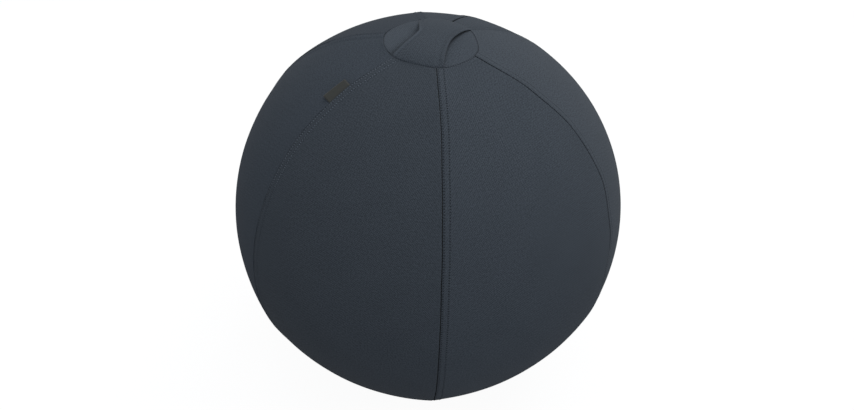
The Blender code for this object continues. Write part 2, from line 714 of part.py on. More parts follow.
def make_zip_pull(centre, finish):
    """Pull that hangs from the bridge: a bar, two arms round a window, and a rounded plate."""
    half = PULL_WIDTH / 2
    window = PULL_WINDOW_WIDTH / 2
    top = PULL_BAR / 2
    outline = [(-half, top), (half, top)]
    for x_side, turns in ((1, steps(0, pi / 2, 3)), (-1, steps(pi / 2, 0, 3))):
        for turn in turns:
            x = x_side * (half - PULL_CORNER + PULL_CORNER * cos(turn))
            outline.append((x, -PULL_LENGTH + PULL_CORNER - PULL_CORNER * sin(turn)))
    pull = add_object("zip_pull", prism(outline, -PULL_THICKNESS / 2, PULL_THICKNESS / 2), finish)
    hole = rectangle(-window, window, -PULL_BAR / 2 - PULL_WINDOW_LENGTH, -PULL_BAR / 2)
    apply_boolean(pull, add_object("window", prism(hole, -PULL_BAR, PULL_BAR), finish), "DIFFERENCE")
    place_on_zip(pull, centre, SLIDER_MIDDLE, PULL_AXIS_HEIGHT, pi / 2)
    return pull


def make_zip(centre, tape_finish, teeth_finish, metal_finish):
    for side, place in ((-1, "left"), (1, "right")):
        make_zip_tape(side, f"zip_tape_{place}", tape_finish)
        make_zip_teeth(side, f"zip_teeth_{place}", teeth_finish)
        edges = sorted((side * ZIP_TOOTH_REACH, side * SLIDER_NECK_WIDTH / 2))
        make_zip_stop(f"zip_lower_stop_{place}", LOWER_STOP_START, *edges, metal_finish)
    make_zip_stop("zip_end_stop", END_STOP_START, -ZIP_TOOTH_REACH, ZIP_TOOTH_REACH, metal_finish)
    make_zip_slider(centre, metal_finish)
    make_zip_pull(centre, metal_finish)


def main():
    clear_scene()
    cover = material("cover_cloth", (0.050, 0.058, 0.070), 0.9)
    tab_cloth = material("tab_cloth", (0.026, 0.028, 0.027), 0.8)
    rubber = material("grip_rubber", (0.018, 0.018, 0.020), 0.7)
    lining = material("pocket_lining", (0.035, 0.037, 0.042), 0.9)
    sand_cloth = material("ballast_cloth", (0.30, 0.27, 0.22), 0.95)
    vinyl = material("bladder_vinyl", (0.22, 0.24, 0.26), 0.4)
    valve_plastic = material("valve_plastic", (0.62, 0.62, 0.60), 0.45)
    tape = material("zip_tape", (0.040, 0.046, 0.056), 0.85)
    teeth = material("zip_teeth", (0.030, 0.033, 0.038), 0.45)
    metal = material("zip_metal", (0.060, 0.062, 0.066), 0.35, 0.9)
    make_cover_panels(cover)
    make_top_cap(cover)
    make_carry_handle(cover)
    make_side_tab(tab_cloth)
    make_base_panel(cover)
    make_grip_pad(rubber)
    make_ballast_bag(sand_cloth)
    make_ballast_pocket(lining)
    make_bladder(vinyl)
    make_valve_collar(valve_plastic)
    make_valve_plug(valve_plastic)
    make_zip(add_empty("ball_centre", BALL_CENTRE), tape, teeth, metal)


main()
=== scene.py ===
# %% [markdown]
# # A sitting ball in its sewn cover
#
# The object is an air ball in a cloth cover: six tapering panels called gores, a round cap under a carry
# strap, a small folded tab in one seam, a zip at the back, and a weighted base that keeps the ball from
# rolling away. Its measured solids are loaded first, as a fixed frame. Every piece below is then made where
# its solid is, so nothing has to be fitted by eye.

# %% Load the measured frame
from functools import partialmethod
from math import asin, atan2, cos, exp, pi, radians, sin, sqrt, tau

import bmesh
import bpy
import numpy as np
from mathutils import Matrix, Quaternion, Vector
from mathutils.bvhtree import BVHTree


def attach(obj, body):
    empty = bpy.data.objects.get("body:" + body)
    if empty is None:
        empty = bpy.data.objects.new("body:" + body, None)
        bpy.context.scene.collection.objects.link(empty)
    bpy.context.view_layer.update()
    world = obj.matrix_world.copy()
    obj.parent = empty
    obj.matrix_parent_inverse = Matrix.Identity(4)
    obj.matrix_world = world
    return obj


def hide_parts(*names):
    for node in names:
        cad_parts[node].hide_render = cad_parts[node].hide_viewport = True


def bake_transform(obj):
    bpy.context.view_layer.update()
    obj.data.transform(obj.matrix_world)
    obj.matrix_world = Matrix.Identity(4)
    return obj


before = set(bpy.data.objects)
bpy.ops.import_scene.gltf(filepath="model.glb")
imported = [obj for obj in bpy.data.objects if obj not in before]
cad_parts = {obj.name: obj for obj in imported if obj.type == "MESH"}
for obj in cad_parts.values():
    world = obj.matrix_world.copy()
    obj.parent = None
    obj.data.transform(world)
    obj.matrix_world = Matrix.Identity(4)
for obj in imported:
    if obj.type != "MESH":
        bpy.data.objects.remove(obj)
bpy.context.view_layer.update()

# %% [markdown]
# Nearly every piece lies on the ball, so places are written as a cloth worker would give them: how far down
# from the top (the polar angle) and how far round from the front (the azimuth). One short function turns the
# two angles into a direction from the ball's centre.

# %% Sizes that many pieces share
MM = 0.001
BALL_RADIUS = 325 * MM
CENTRE = Vector((0, 0, 312.3054 * MM))
BASE_RADIUS = 95 * MM
CLOTH = 1.2 * MM
RIM_POLAR = radians(12.74)
RIM_WAVES = [  # waves of the cap's rim, where seams pull corners out: how many, how far, where the crest is
    (number, radians(reach), radians(crest))
    for number, reach, crest in ((1, 0.43, -98.1), (2, 0.32, 83.5), (3, 0.22, 57.7), (6, 0.19, -24.9))
]
RIM_DITCH, RIM_DEEPEST = 0.75 * MM, radians(-30)
COVER_BOTTOM = pi - asin(BASE_RADIUS / BALL_RADIUS)


def direction(polar, azimuth):
    """Unit vector from the ball's centre: polar from the top, azimuth from the front towards +X."""
    return Vector((sin(polar) * sin(azimuth), -sin(polar) * cos(azimuth), cos(polar)))


def on_ball(polar, azimuth, height=0.0):
    return CENTRE + direction(polar, azimuth) * (BALL_RADIUS + height)


def clamp(value, low=0.0, high=1.0):
    return min(high, max(low, value))


# %% [markdown]
# The photograph looks down on the ball from its front right, and the ball leans a little to the right in it.
# A camera could be placed by hand until the outlines meet. Here it stands on a line from the ball's centre,
# given by an azimuth, an elevation and a distance, and is then rolled about that line.

# %% Camera
VIEW_AZIMUTH, VIEW_ELEVATION, VIEW_ROLL = radians(25.34), radians(39.34), radians(1.94)
VIEW_DISTANCE, LENS, SENSOR_WIDTH = 5.5 * BALL_RADIUS, 44.26, 36
PIXEL = 1 / 854  # of the picture's width


def aim(name, data, azimuth, elevation, distance, roll=0.0):
    """Stand a camera or lamp on a line from the ball's centre and turn it to face the centre."""
    item = bpy.data.objects.new(name, data)
    bpy.context.scene.collection.objects.link(item)
    away = direction(pi / 2 - elevation, azimuth)
    item.location = CENTRE + away * distance
    item.rotation_mode = "QUATERNION"
    item.rotation_quaternion = (-away).to_track_quat("-Z", "Y") @ Quaternion((0, 0, 1), roll)
    return item


camera_data = bpy.data.cameras.new("camera")
camera = aim("camera", camera_data, VIEW_AZIMUTH, VIEW_ELEVATION, VIEW_DISTANCE, VIEW_ROLL)
camera_data.sensor_width, camera_data.lens = SENSOR_WIDTH, LENS
camera_data.shift_x, camera_data.shift_y = -0.2 * PIXEL, 0.15 * PIXEL
bpy.context.scene.camera = camera
print("camera at", tuple(round(x, 3) for x in camera.location))

# %% [markdown]
# Geometry trees and materials are both made of nodes. Written one node at a time, a formula such as a sine of
# a length becomes a page of links, so a small class lets a node's output take part in ordinary sums: each `+`
# or `*` adds one Math node to the tree. Rules that the trees share with plain code, such as where a seam
# runs, are then written once and take either numbers or flows.

# %% Sums made of nodes


class Flow:
    """A value that runs between nodes. A sum with it adds a Math node to its tree."""

    def __init__(self, tree, socket):
        self.tree, self.socket = tree, socket

    def math(self, operation, *others):
        node = add_node(self.tree, "ShaderNodeMath", operation=operation)
        for socket, value in zip(node.inputs, (self, *others)):
            plug(value, socket)
        return Flow(self.tree, node.outputs[0])

    __add__ = __radd__ = partialmethod(math, "ADD")
    __mul__ = __rmul__ = partialmethod(math, "MULTIPLY")
    __sub__, __truediv__ = partialmethod(math, "SUBTRACT"), partialmethod(math, "DIVIDE")
    __pow__ = partialmethod(math, "POWER")
    sine, cosine = partialmethod(math, "SINE"), partialmethod(math, "COSINE")
    at_least, at_most = partialmethod(math, "MAXIMUM"), partialmethod(math, "MINIMUM")

    def __rsub__(self, other):
        return (self * -1) + other

    def __rtruediv__(self, other):
        return self**-1 * other

    def clamped(self):
        return self.at_least(0).at_most(1)

    def wave(self, length):
        """A sine wave between 0 and 1 that repeats after a length."""
        return (self * (tau / length)).sine() * 0.5 + 0.5

    def hump(self, middle, width):
        """A smooth hump of height 1 about a middle, gone a few widths away."""
        offset = (self - middle) / width
        return (offset * offset * -1).math("EXPONENT")

    def parts(self):
        node = add_node(self.tree, "ShaderNodeSeparateXYZ", {"Vector": self})
        return [Flow(self.tree, socket) for socket in node.outputs]


def cosine(value):
    return value.cosine() if isinstance(value, Flow) else cos(value)


def lesser(value, other):
    return value.at_most(other) if isinstance(value, Flow) else min(value, other)


def between(value, low, high):
    return value.at_least(low).at_most(high) if isinstance(value, Flow) else clamp(value, low, high)


def plug(value, socket):
    """Link a flow into a socket, or write a plain value on it."""
    if isinstance(value, Flow):
        value.tree.links.new(value.socket, socket)
    else:
        socket.default_value = value


def add_node(tree, kind, inputs=None, **settings):
    node = tree.nodes.new(kind)
    for name, value in settings.items():
        setattr(node, name, value)
    for name, value in (inputs or {}).items():
        plug(value, next(s for s in node.inputs if s.name == name and s.enabled))
    return node


def flow(tree, kind, inputs=None, output=0, **settings):
    return Flow(tree, add_node(tree, kind, inputs, **settings).outputs[output])


def vector(tree, x=0.0, y=0.0, z=0.0):
    return flow(tree, "ShaderNodeCombineXYZ", {"X": x, "Y": y, "Z": z})


def noise(tree, place, scale, detail):
    return flow(tree, "ShaderNodeTexNoise", {"Vector": place, "Scale": scale, "Detail": detail})


def map_place(tree, name):
    return flow(tree, "ShaderNodeUVMap", uv_map=name)


def object_place(tree):
    return flow(tree, "ShaderNodeTexCoord", output="Object")


print("a flow can take part in", [name for name in vars(Flow) if not name.startswith("_")])

# %% Geometry trees with named inputs
SOCKET_KINDS = {float: "NodeSocketFloat", int: "NodeSocketInt", Vector: "NodeSocketVector"}


def geometry_tree(name, sizes):
    """A tree with one named input for each size and for its material; gives the tree and its inputs."""
    tree = bpy.data.node_groups.new(name, "GeometryNodeTree")
    tree.interface.new_socket("Geometry", in_out="OUTPUT", socket_type="NodeSocketGeometry")
    tree.interface.new_socket("Geometry", in_out="INPUT", socket_type="NodeSocketGeometry")
    for label, value in sizes.items():
        kind = SOCKET_KINDS[type(value)]
        tree.interface.new_socket(label, in_out="INPUT", socket_type=kind).default_value = value
    tree.interface.new_socket("Material", in_out="INPUT", socket_type="NodeSocketMaterial")
    inlet = tree.nodes.new("NodeGroupInput")
    return tree, {socket.name: Flow(tree, socket) for socket in inlet.outputs if socket.name}


def end_tree(tree, geometry, size):
    """Close a tree with Realize Instances, smooth shading and Set Material."""
    whole = flow(tree, "GeometryNodeRealizeInstances", {"Geometry": geometry})
    smooth = flow(tree, "GeometryNodeSetShadeSmooth", {"Geometry": whole})
    finished = flow(tree, "GeometryNodeSetMaterial", {"Geometry": smooth, "Material": size["Material"]})
    plug(finished, tree.nodes.new("NodeGroupOutput").inputs[0])


def new_mesh(name, corners, edges=(), faces=()):
    mesh = bpy.data.meshes.new(name)
    mesh.from_pydata(corners, edges, faces)
    return mesh


def write_map(mesh, name, places):
    """Store on a named map where each corner lies."""
    uv = mesh.uv_layers.new(name=name).data
    uv.foreach_set("uv", [part for loop in mesh.loops for part in places[loop.vertex_index]])


def add_piece(name, mesh, material=None):
    piece = bpy.data.objects.new(name, mesh)
    bpy.context.scene.collection.objects.link(piece)
    if material:
        mesh.materials.append(material)
    return piece


def settle(piece):
    """Turn what a piece's modifiers make into its plain mesh."""
    depsgraph = bpy.context.evaluated_depsgraph_get()
    made = bpy.data.meshes.new_from_object(
        piece.evaluated_get(depsgraph), preserve_all_data_layers=True, depsgraph=depsgraph
    )
    piece.modifiers.clear()
    before, piece.data = piece.data, made
    bpy.data.meshes.remove(before)
    made.name = piece.name
    return piece


def grow(name, tree, material, sizes, mesh=None):
    """Run a geometry tree on a new object, with the sizes given by name, and keep the plain mesh."""
    piece = add_piece(name, mesh or bpy.data.meshes.new(name))
    modifier = piece.modifiers.new(tree.name, "NODES")
    modifier.node_group = tree
    for item in tree.interface.items_tree:
        if item.in_out == "INPUT" and item.name in sizes:
            modifier[item.identifier] = sizes[item.name]
        elif item.in_out == "INPUT" and item.name == "Material":
            modifier[item.identifier] = material
    return settle(piece)


def thicken(piece, thickness):
    """Give a sheet its cloth thickness, on the inner side."""
    modifier = piece.modifiers.new("cloth thickness", "SOLIDIFY")
    modifier.thickness, modifier.offset = thickness, -1
    return settle(piece)


print("tree tools ready")

# %% [markdown]
# The cover is a dark slate cloth with a fine diagonal weave and a dry, slightly hairy surface. An image would
# show it from one distance only, so the weave is a formula on the piece's own `weave` map, which holds each
# point's place on the flat cloth in metres. A second map, `seam`, holds the distance from the sewn edge and
# along it. It paints shade into the needle holes between the stitches and along the ditch of some seams,
# and lets the cloth dimple at the holes.

# %% Cover cloth
STITCH_PITCH = 4.1 * MM
STITCH_ROWS = (2.5 * MM, 10.9 * MM)
SLATE = (0.0415, 0.0507, 0.0633)
HOLE_REACH, EDGE_WIDTH = 1.0 * MM, 0.55 * MM
WIDEST_AT, WIDEST_OVER = 360 * MM, 110 * MM


def new_material(name, values):
    """A material whose plain values are written straight on its shader's sockets."""
    material = bpy.data.materials.new(name)
    material.use_nodes = True
    shader = material.node_tree.nodes["Principled BSDF"]
    for socket, value in values.items():
        shader.inputs[socket].default_value = value
    return material, material.node_tree


def shades(tree, share, dark, light):
    """A colour between a dark and a light shade, each a plain colour or a flow."""
    node = add_node(tree, "ShaderNodeMix", data_type="RGBA")
    plug(share, node.inputs[0])
    for colour, socket in ((dark, node.inputs[6]), (light, node.inputs[7])):
        plug(colour if isinstance(colour, Flow) else (*colour, 1), socket)
    return Flow(tree, node.outputs[2])


def scaled(colour, factor):
    return tuple(min(1.0, part * factor) for part in colour)


def dress(material, tint, height, depth, strength):
    """Give a material its colour, and a height that bumps it."""
    tree = material.node_tree
    bumped = flow(tree, "ShaderNodeBump", {"Height": height, "Distance": depth, "Strength": strength})
    for socket, value in (("Base Color", tint), ("Normal", bumped)):
        plug(value, tree.nodes["Principled BSDF"].inputs[socket])
    return material


def needle_holes(tree, rows):
    """1 at each needle hole of the stitch rows and 0 elsewhere, from the seam map."""
    away, along, _ = map_place(tree, "seam").parts()
    at_hole = ((along * (tau / STITCH_PITCH)).cosine() * 0.5 + 0.5) ** 2
    return at_hole * sum(away.hump(row, HOLE_REACH) for row in rows)


def cloth_material(
    name, colour, rows=(), holed=0.8, painted_ditch_shade=0.0, widening=0.0, worn_and_painted_shade=False, rib=3.4 * MM, roughness=0.6
):
    """The cover's cloth: painted shade in the needle holes of its rows and at a seam edge that may widen
    half-way down, and painted light and shade beside the strap.
    """
    sheen = {"Sheen Weight": 0.041, "Sheen Roughness": 0.5}
    material, tree = new_material(name, {"Roughness": roughness, "Specular IOR Level": 0.0, **sheen})
    place = map_place(tree, "weave")
    u, v, _ = place.parts()
    twill, yarn = (u + v).wave(rib), (u - v).wave(rib)
    grain, cloud = noise(tree, place, 420.0, 2.0), noise(tree, place, 17.0, 3.0)
    share = twill * 0.6 + yarn * 0.6 + grain * 2.4 + cloud * 0.3 - 1.45
    height = twill * 0.6 + yarn * 0.4 + grain * 0.5
    tint = shades(tree, share, scaled(colour, 0.70), scaled(colour, 1.30))
    if rows:
        # Painted shade: the needle holes of the rows are darkened, and the cloth dimples there.
        holes = needle_holes(tree, rows)
        tint = shades(tree, holes * holed, tint, scaled(colour, 0.2))
        height = height - holes * (2.5 * holed)
    # Painted shade in the seam's ditch: the cloth beside the sewn edge is darkened, in dashes at the
    # stitches, in a band that may widen half-way down.
    if painted_ditch_shade:
        away, along, _ = map_place(tree, "seam").parts()
        drawn_in = (along * (tau / STITCH_PITCH)).cosine() * 0.25 + 0.75
        wide = along.hump(WIDEST_AT, WIDEST_OVER) * (EDGE_WIDTH * widening) + EDGE_WIDTH
        inside = (2.2 - away / wide).clamped()
        tint = shades(tree, inside * drawn_in * painted_ditch_shade, tint, scaled(colour, 0.12))
    if worn_and_painted_shade:
        # Painted light and shade from the attribute: a painted shadow of the strap on the cap, and a painted
        # highlight on the strap's left hem with a painted dark line at its edge.
        wear = flow(tree, "ShaderNodeAttribute", attribute_name="wear", output="Fac")
        tint = shades(tree, wear * -0.4, tint, scaled(colour, 0.35))
        tint = shades(tree, wear * 0.3, tint, scaled(colour, 1.7))
    return dress(material, tint, height, 0.25 * MM, 0.30)


print("cloth of colour", SLATE, "with stitches every", STITCH_PITCH / MM, "mm")

# %% [markdown]
# A gore is a strip of cloth that is widest in the middle and narrow at both ends. Six of them sewn edge to
# edge make a ball that stays slightly flat between its seams, and each seam is felled: the allowance is
# folded under one gore and sewn down with two rows, so a raised band runs beside a narrow ditch. The gores
# follow one rule, so a Geometry Nodes tree makes them all: a flat grid is wrapped round the ball, and a Float
# Curve holds the seam's cross-section, drawn as a dressmaker would draw it. The first columns keep their
# distance from the seam in millimetres, so the band has the same width at the narrow ends as in the middle.

# %% The rule of a gore
EDGE_COLUMNS, BAND_COLUMNS, MIDDLE_COLUMNS = 6, 22, 34
BAND_REACH, EDGE_REACH, RIM_REACH = 19 * MM, 5 * MM, 5 * MM
RIM_ROWS, MIDDLE_ROWS = 6, 150
PUCKER_REACH = 26 * MM
BAND_PROFILE = (  # distance from the ditch and height over the cloth, in mm
    (0.0, 0.30), (1.2, 0.42), (2.5, 0.25), (4.0, 0.46), (6.0, 0.50), (8.2, 0.44),
    (9.7, 0.22), (11.2, 0.40), (12.6, 0.34), (13.6, 0.03), (15.5, 0.0), (19.0, 0.0),
)
SWAY_STEP, SWAY_TAIL = radians(15), radians(50)
SWAY_STATIONS = [SWAY_STEP * number for number in range(1, 7)]
ZIP_TOP, ZIP_LENGTH, ZIP_MARGIN, ZIP_HALF_OPENING = radians(74), 350 * MM, 9 * MM, 7.5 * MM
CHAIN_RADIUS = 322.85 * MM

gore_sizes = {"Radius": BALL_RADIUS, "Centre height": CENTRE.z, "Top": RIM_POLAR, "Bottom": COVER_BOTTOM}
for side, turn in (("Left", 0.0), ("Right", radians(60))):
    gore_sizes |= {f"{side} azimuth": turn, f"{side} upper sway": Vector(), f"{side} lower sway": Vector()}
    gore_sizes |= {f"{side} opening": 0.0, f"{side} ditch": 2.6 * MM, f"{side} ridge": 0.0}
gore_sizes |= {"Middle columns": MIDDLE_COLUMNS, "Flattening": 4 * MM, "Pucker": 0.8 * MM}
gore_sizes |= {"Slack": 1.1 * MM, "Seed": 0}
gore_tree, size = geometry_tree("sewn gore", gore_sizes)


def rim_at(azimuth, top):
    """Polar angle of the cap's rim, which isn't quite centred on the ball."""
    return top + sum(cosine((azimuth - crest) * number) * reach for number, reach, crest in RIM_WAVES)


def swayed(azimuth, sways, polar):
    """Azimuth of a seam at a polar angle, swaying as it was sewn."""
    for station, sway in zip(SWAY_STATIONS, sways):
        apart = (polar - station) / SWAY_STEP
        if station == SWAY_STATIONS[-1]:
            apart = lesser(apart, (polar - station) / SWAY_TAIL)
        near = between(apart, 0 if station == SWAY_STATIONS[0] else -1, 1)
        azimuth = azimuth + cosine(near * (pi / 2)) ** 2 * sway
    return azimuth


def zip_opened(polar):
    """1 where the zip holds the two half gores apart, and 0 where they meet."""
    along = (polar - ZIP_TOP) * CHAIN_RADIUS
    into_opening = lesser(along - ZIP_MARGIN, ZIP_LENGTH - ZIP_MARGIN - along)
    return between(into_opening / ZIP_MARGIN + 1, 0, 1)


def spread(share, first, first_share, last, last_share, total):
    """Distance along a line whose first and last stretches keep their length whatever its total."""
    start = (share / first_share).at_most(1) * first
    end = ((1 - share) / last_share).at_most(1) * last
    middle = ((share - first_share) / (1 - first_share - last_share)).clamped()
    return start + middle * (total - (first + last)) - end + last


columns = size["Middle columns"] + (BAND_COLUMNS + EDGE_COLUMNS)
rows = 2 * RIM_ROWS + MIDDLE_ROWS
grid_size = {"Size X": 1.0, "Size Y": 1.0, "Vertices X": columns + 1, "Vertices Y": rows + 1}
grid = flow(gore_tree, "GeometryNodeMeshGrid", grid_size)
across, up, _ = flow(gore_tree, "GeometryNodeInputPosition").parts()
across, down = across + 0.5, 0.5 - up
rim_circle = size["Top"].sine() * size["Radius"]
rim_left, rim_right = (
    size[side + " azimuth"] + size[side + " upper sway"].parts()[0] for side in ("Left", "Right")
)
band_share, edge_share = BAND_COLUMNS / columns, EDGE_COLUMNS / columns
rim_width = (rim_right - rim_left) * rim_circle
rim_place = spread(across, BAND_REACH, band_share, EDGE_REACH, edge_share, rim_width)
rim_azimuth = rim_left + rim_place / rim_circle
rim_polar = rim_at(rim_azimuth, size["Top"])
length = (size["Bottom"] - rim_polar) * size["Radius"]
from_top = spread(down, RIM_REACH, RIM_ROWS / rows, RIM_REACH, RIM_ROWS / rows, length)
polar = rim_polar + from_top / size["Radius"]
circle = polar.sine() * size["Radius"]
print("gore grid:", rows, "rows")

# %% Where a gore's edges run
opened = zip_opened(polar)


def sewn_edge(side, inwards):
    """Azimuth of a gore's edge: its seam, swaying as sewn, and drawn back where the zip opens."""
    sways = size[side + " upper sway"].parts() + size[side + " lower sway"].parts()
    seam = swayed(size[side + " azimuth"], sways, polar)
    return seam + size[side + " opening"] * opened / circle * inwards


left_edge, right_edge = sewn_edge("Left", 1), sewn_edge("Right", -1)
width = (right_edge - left_edge) * circle
from_left = spread(across, BAND_REACH, band_share, EDGE_REACH, edge_share, width)
from_right = width - from_left
azimuth = left_edge + from_left / circle
print("zip opening runs", ZIP_LENGTH / MM, "mm down the centre back")

# %% How high the cloth stands
curve = add_node(gore_tree, "ShaderNodeFloatCurve", {"Value": from_left / BAND_REACH})
points = curve.mapping.curves[0].points
for place, rise in BAND_PROFILE[1:-1]:
    points.new(place * MM / BAND_REACH, rise)
points[0].location = (0, BAND_PROFILE[0][1])
points[-1].location = (1, 0)
curve.mapping.update()
band = Flow(gore_tree, curve.outputs[0]) * MM


def ditch(distance, reach):
    """1 at the sewn edge, falling to 0 at a reach from it."""
    near = (1 - distance / reach).at_least(0)
    return near * near


def seam_drop(side, distance, reach):
    """How far a gore's edge dips into its seam. Where the zip opens, its tape holds the edge up."""
    held_up = opened * (size[side + " opening"] / ZIP_HALF_OPENING) * 0.7
    return ditch(distance, reach) * (1 - held_up) * size[side + " ditch"]


share = from_left / width
half_way = (down * 2 - 1).math("ABSOLUTE")
taper = (size["Right azimuth"] - size["Left azimuth"]) / radians(60)
flat = share * (1 - share) * 4 * size["Flattening"] * taper * taper
ridge = size["Left ridge"] * (1 - share) + size["Right ridge"] * share
form = (ridge - flat) * (1 - half_way**4)
deepening = ((polar + radians(45)) / radians(115)).at_most(1)
edge_drop = seam_drop("Left", from_left, 0.5 * MM) + seam_drop("Right", from_right, 1.6 * MM)
rim_depth = ((rim_azimuth - RIM_DEEPEST).cosine() * 0.42 + 0.58) * RIM_DITCH
rim_drop = ditch(from_top, 0.8 * MM) * rim_depth + ditch(length - from_top, 1.2 * MM) * RIM_DITCH
drop = edge_drop * deepening + rim_drop

out_x, out_y, out_z = polar.sine() * azimuth.sine(), polar.sine() * azimuth.cosine() * -1, polar.cosine()
outward = vector(gore_tree, out_x, out_y, out_z)
moved = flow(gore_tree, "ShaderNodeVectorMath", {"Vector": outward}, operation="ADD")
plug(size["Seed"] * 3.7, moved.socket.node.inputs[1])


def ripple(scale):
    return noise(gore_tree, moved, scale, 1.0) - 0.5


near_seam = (from_left.at_most(from_right) / -PUCKER_REACH).math("EXPONENT")
soft = ripple(2.6) * size["Slack"] + ripple(13.0) * near_seam * size["Pucker"]
height = size["Radius"] + band + form - drop + soft
print("seam profile:", len(BAND_PROFILE), "points over", BAND_REACH / MM, "mm")

# %% Finish the gore tree
middle_azimuth = (size["Left azimuth"] + size["Right azimuth"]) * 0.5
weave = vector(gore_tree, (azimuth - middle_azimuth) * circle, from_top)
sheet = grid
for name, value in (("weave", weave), ("seam", vector(gore_tree, from_left, from_top))):
    stored = {"Geometry": sheet, "Name": name, "Value": value}
    sheet = flow(gore_tree, "GeometryNodeStoreNamedAttribute", stored, data_type="FLOAT2", domain="CORNER")
place = vector(gore_tree, out_x * height, out_y * height, out_z * height + size["Centre height"])
end_tree(gore_tree, flow(gore_tree, "GeometryNodeSetPosition", {"Geometry": sheet, "Position": place}), size)
print("gore tree:", len(gore_tree.nodes), "nodes")

# %% [markdown]
# Hand-fed seams are never perfectly straight, and some of them stand out further than others. In the
# photograph the seam on the right swings outwards between cap and middle, and only the front and right seams
# have a deep ditch. Each seam therefore has its own sway, ditch and ridge, shared by the two gores that meet
# there. Each gore also has its own tone, which is painted light and shade: the gores on the right are made
# lighter and those on the left darker.

# %% Sew the cover
SEAMS = {  # azimuth: sway down from the top, in degrees; ditch and ridge in mm; show of its stitches
    -150: ((3.7, 2.5, 0, 0, 0, 0), 0.1, -2.0, 0.3),
    -90: ((5.5, 3.2, 2.6, 2.2, 1.0, 0), 0.1, 1.2, 0.4),
    -30: ((2.3, 0.2, -0.7, -0.4, 0.1, 0.3), 0.0, 0.1, 0.55),
    30: ((0.5, 0.7, 0.25, 0, -0.25, -0.3), 2.8, 1.6, 1.0),
    90: ((-2.6, 0.9, 3.2, 2.8, -0.4, -3.6), 4.5, 0.3, 0.35),
    150: ((1.5, 1.8, 2.4, 2.0, 1.0, 0), 0.3, -0.8, 0.3),
    180: ((2.0, 2.4, 0.6, 0, 0, 0), 4.5, -1.1, 0.3),
}
GORES = {  # left and right seam in degrees, how far the middle lies under its seams in mm, and its tone
    "front": (-30, 30, 4.2, (0.94, 0.94, 0.94)),
    "front_right": (30, 90, 4.6, (1.02, 1.02, 1.02)),
    "back_right": (90, 150, 1.4, (1.12, 1.11, 1.10)),
    "half_right": (150, 180, 5.4, (0.98, 0.98, 0.98)),
    "half_left": (180, 210, 6.2, (0.97, 0.97, 0.97)),
    "back_left": (210, 270, 3.0, (0.83, 0.84, 0.86)),
    "front_left": (270, 330, 5.5, (0.92, 0.94, 0.965)),
}
TAB_SEAM, SWUNG_SEAM, ZIP_SEAM = -30, 90, 180
FULL_DITCH = 4.0 * MM
CAD_PANEL = {name: f"cover_panel_{name}" for name in GORES}
CAD_PANEL.update(half_right="cover_half_panel_right", half_left="cover_half_panel_left")


def seam_shape(degrees_round):
    """Sway in radians, ditch and ridge in metres and show of stitches of the seam at an azimuth."""
    sways, depth, ridge_here, show = SEAMS[next(k for k in SEAMS if (k - degrees_round) % 360 == 0)]
    return [radians(sway) for sway in sways], depth * MM, ridge_here * MM, show


cover = {}
for number, (name, (left, right, flatness, tone)) in enumerate(GORES.items()):
    sizes = {"Flattening": flatness * MM, "Seed": number}
    sizes["Middle columns"] = MIDDLE_COLUMNS if right - left == 60 else MIDDLE_COLUMNS // 2
    for side, seam in (("Left", left), ("Right", right)):
        sways, depth, ridge_here, _ = seam_shape(seam)
        sizes |= {f"{side} upper sway": sways[:3], f"{side} lower sway": sways[3:]}
        sizes |= {f"{side} azimuth": radians(seam), f"{side} ditch": depth, f"{side} ridge": ridge_here}
        sizes[f"{side} opening"] = ZIP_HALF_OPENING if seam == ZIP_SEAM else 0.0
    _, depth, _, show = seam_shape(left)
    # The gore's tone is painted light and shade: it lightens the gores on the right and darkens those on the
    # left.
    colour = [part * share_here for part, share_here in zip(SLATE, tone)]
    # How strong the painted ditch shade is, by the depth of the ditch; on the swung seam it is also wider
    # half-way down.
    painted_ditch_shade, widening = (0.7, 3.5) if left == SWUNG_SEAM else (min(1.0, depth / FULL_DITCH), 0.0)
    cloth = cloth_material(f"cloth_{name}", colour, STITCH_ROWS, show, painted_ditch_shade, widening)
    cover[name] = grow(f"gore_{name}", gore_tree, cloth, sizes)
print("gores:", {name: len(gore.data.polygons) for name, gore in cover.items()})

# %% [markdown]
# The stitches have to lie on the cloth, not near it, so the finished gores are kept as a search tree. A ray
# from outside towards the ball's centre then gives the cloth's height anywhere.

# %% Feel for the cloth


def feel(pieces):
    """A function that gives the point of some pieces under a polar angle and an azimuth."""
    corners, faces = [], []
    for piece in pieces:
        start = len(corners)
        corners += [vertex.co.copy() for vertex in piece.data.vertices]
        faces += [[start + i for i in polygon.vertices] for polygon in piece.data.polygons]
    search = BVHTree.FromPolygons(corners, faces)

    def touch(polar, azimuth):
        out = direction(polar, azimuth)
        hit, _, _, _ = search.ray_cast(CENTRE + out * (BALL_RADIUS + 30 * MM), -out)
        return hit if hit else CENTRE + out * BALL_RADIUS

    return touch


touch_cover = feel(cover.values())
for gore in cover.values():
    thicken(gore, CLOTH)
front_seam = touch_cover(pi / 2, radians(30.5)) - CENTRE
print("cover at the front seam stands at", round(front_seam.length / MM, 2), "mm")

# %% [markdown]
# The cap is a round piece of the same cloth. It could be a gore tree of its own, but a disc made ring by ring
# is shorter: each ring has a distance from the middle, and the last rings turn down into the seam where the
# cap meets the gores.

# %% Round sheets, ring by ring


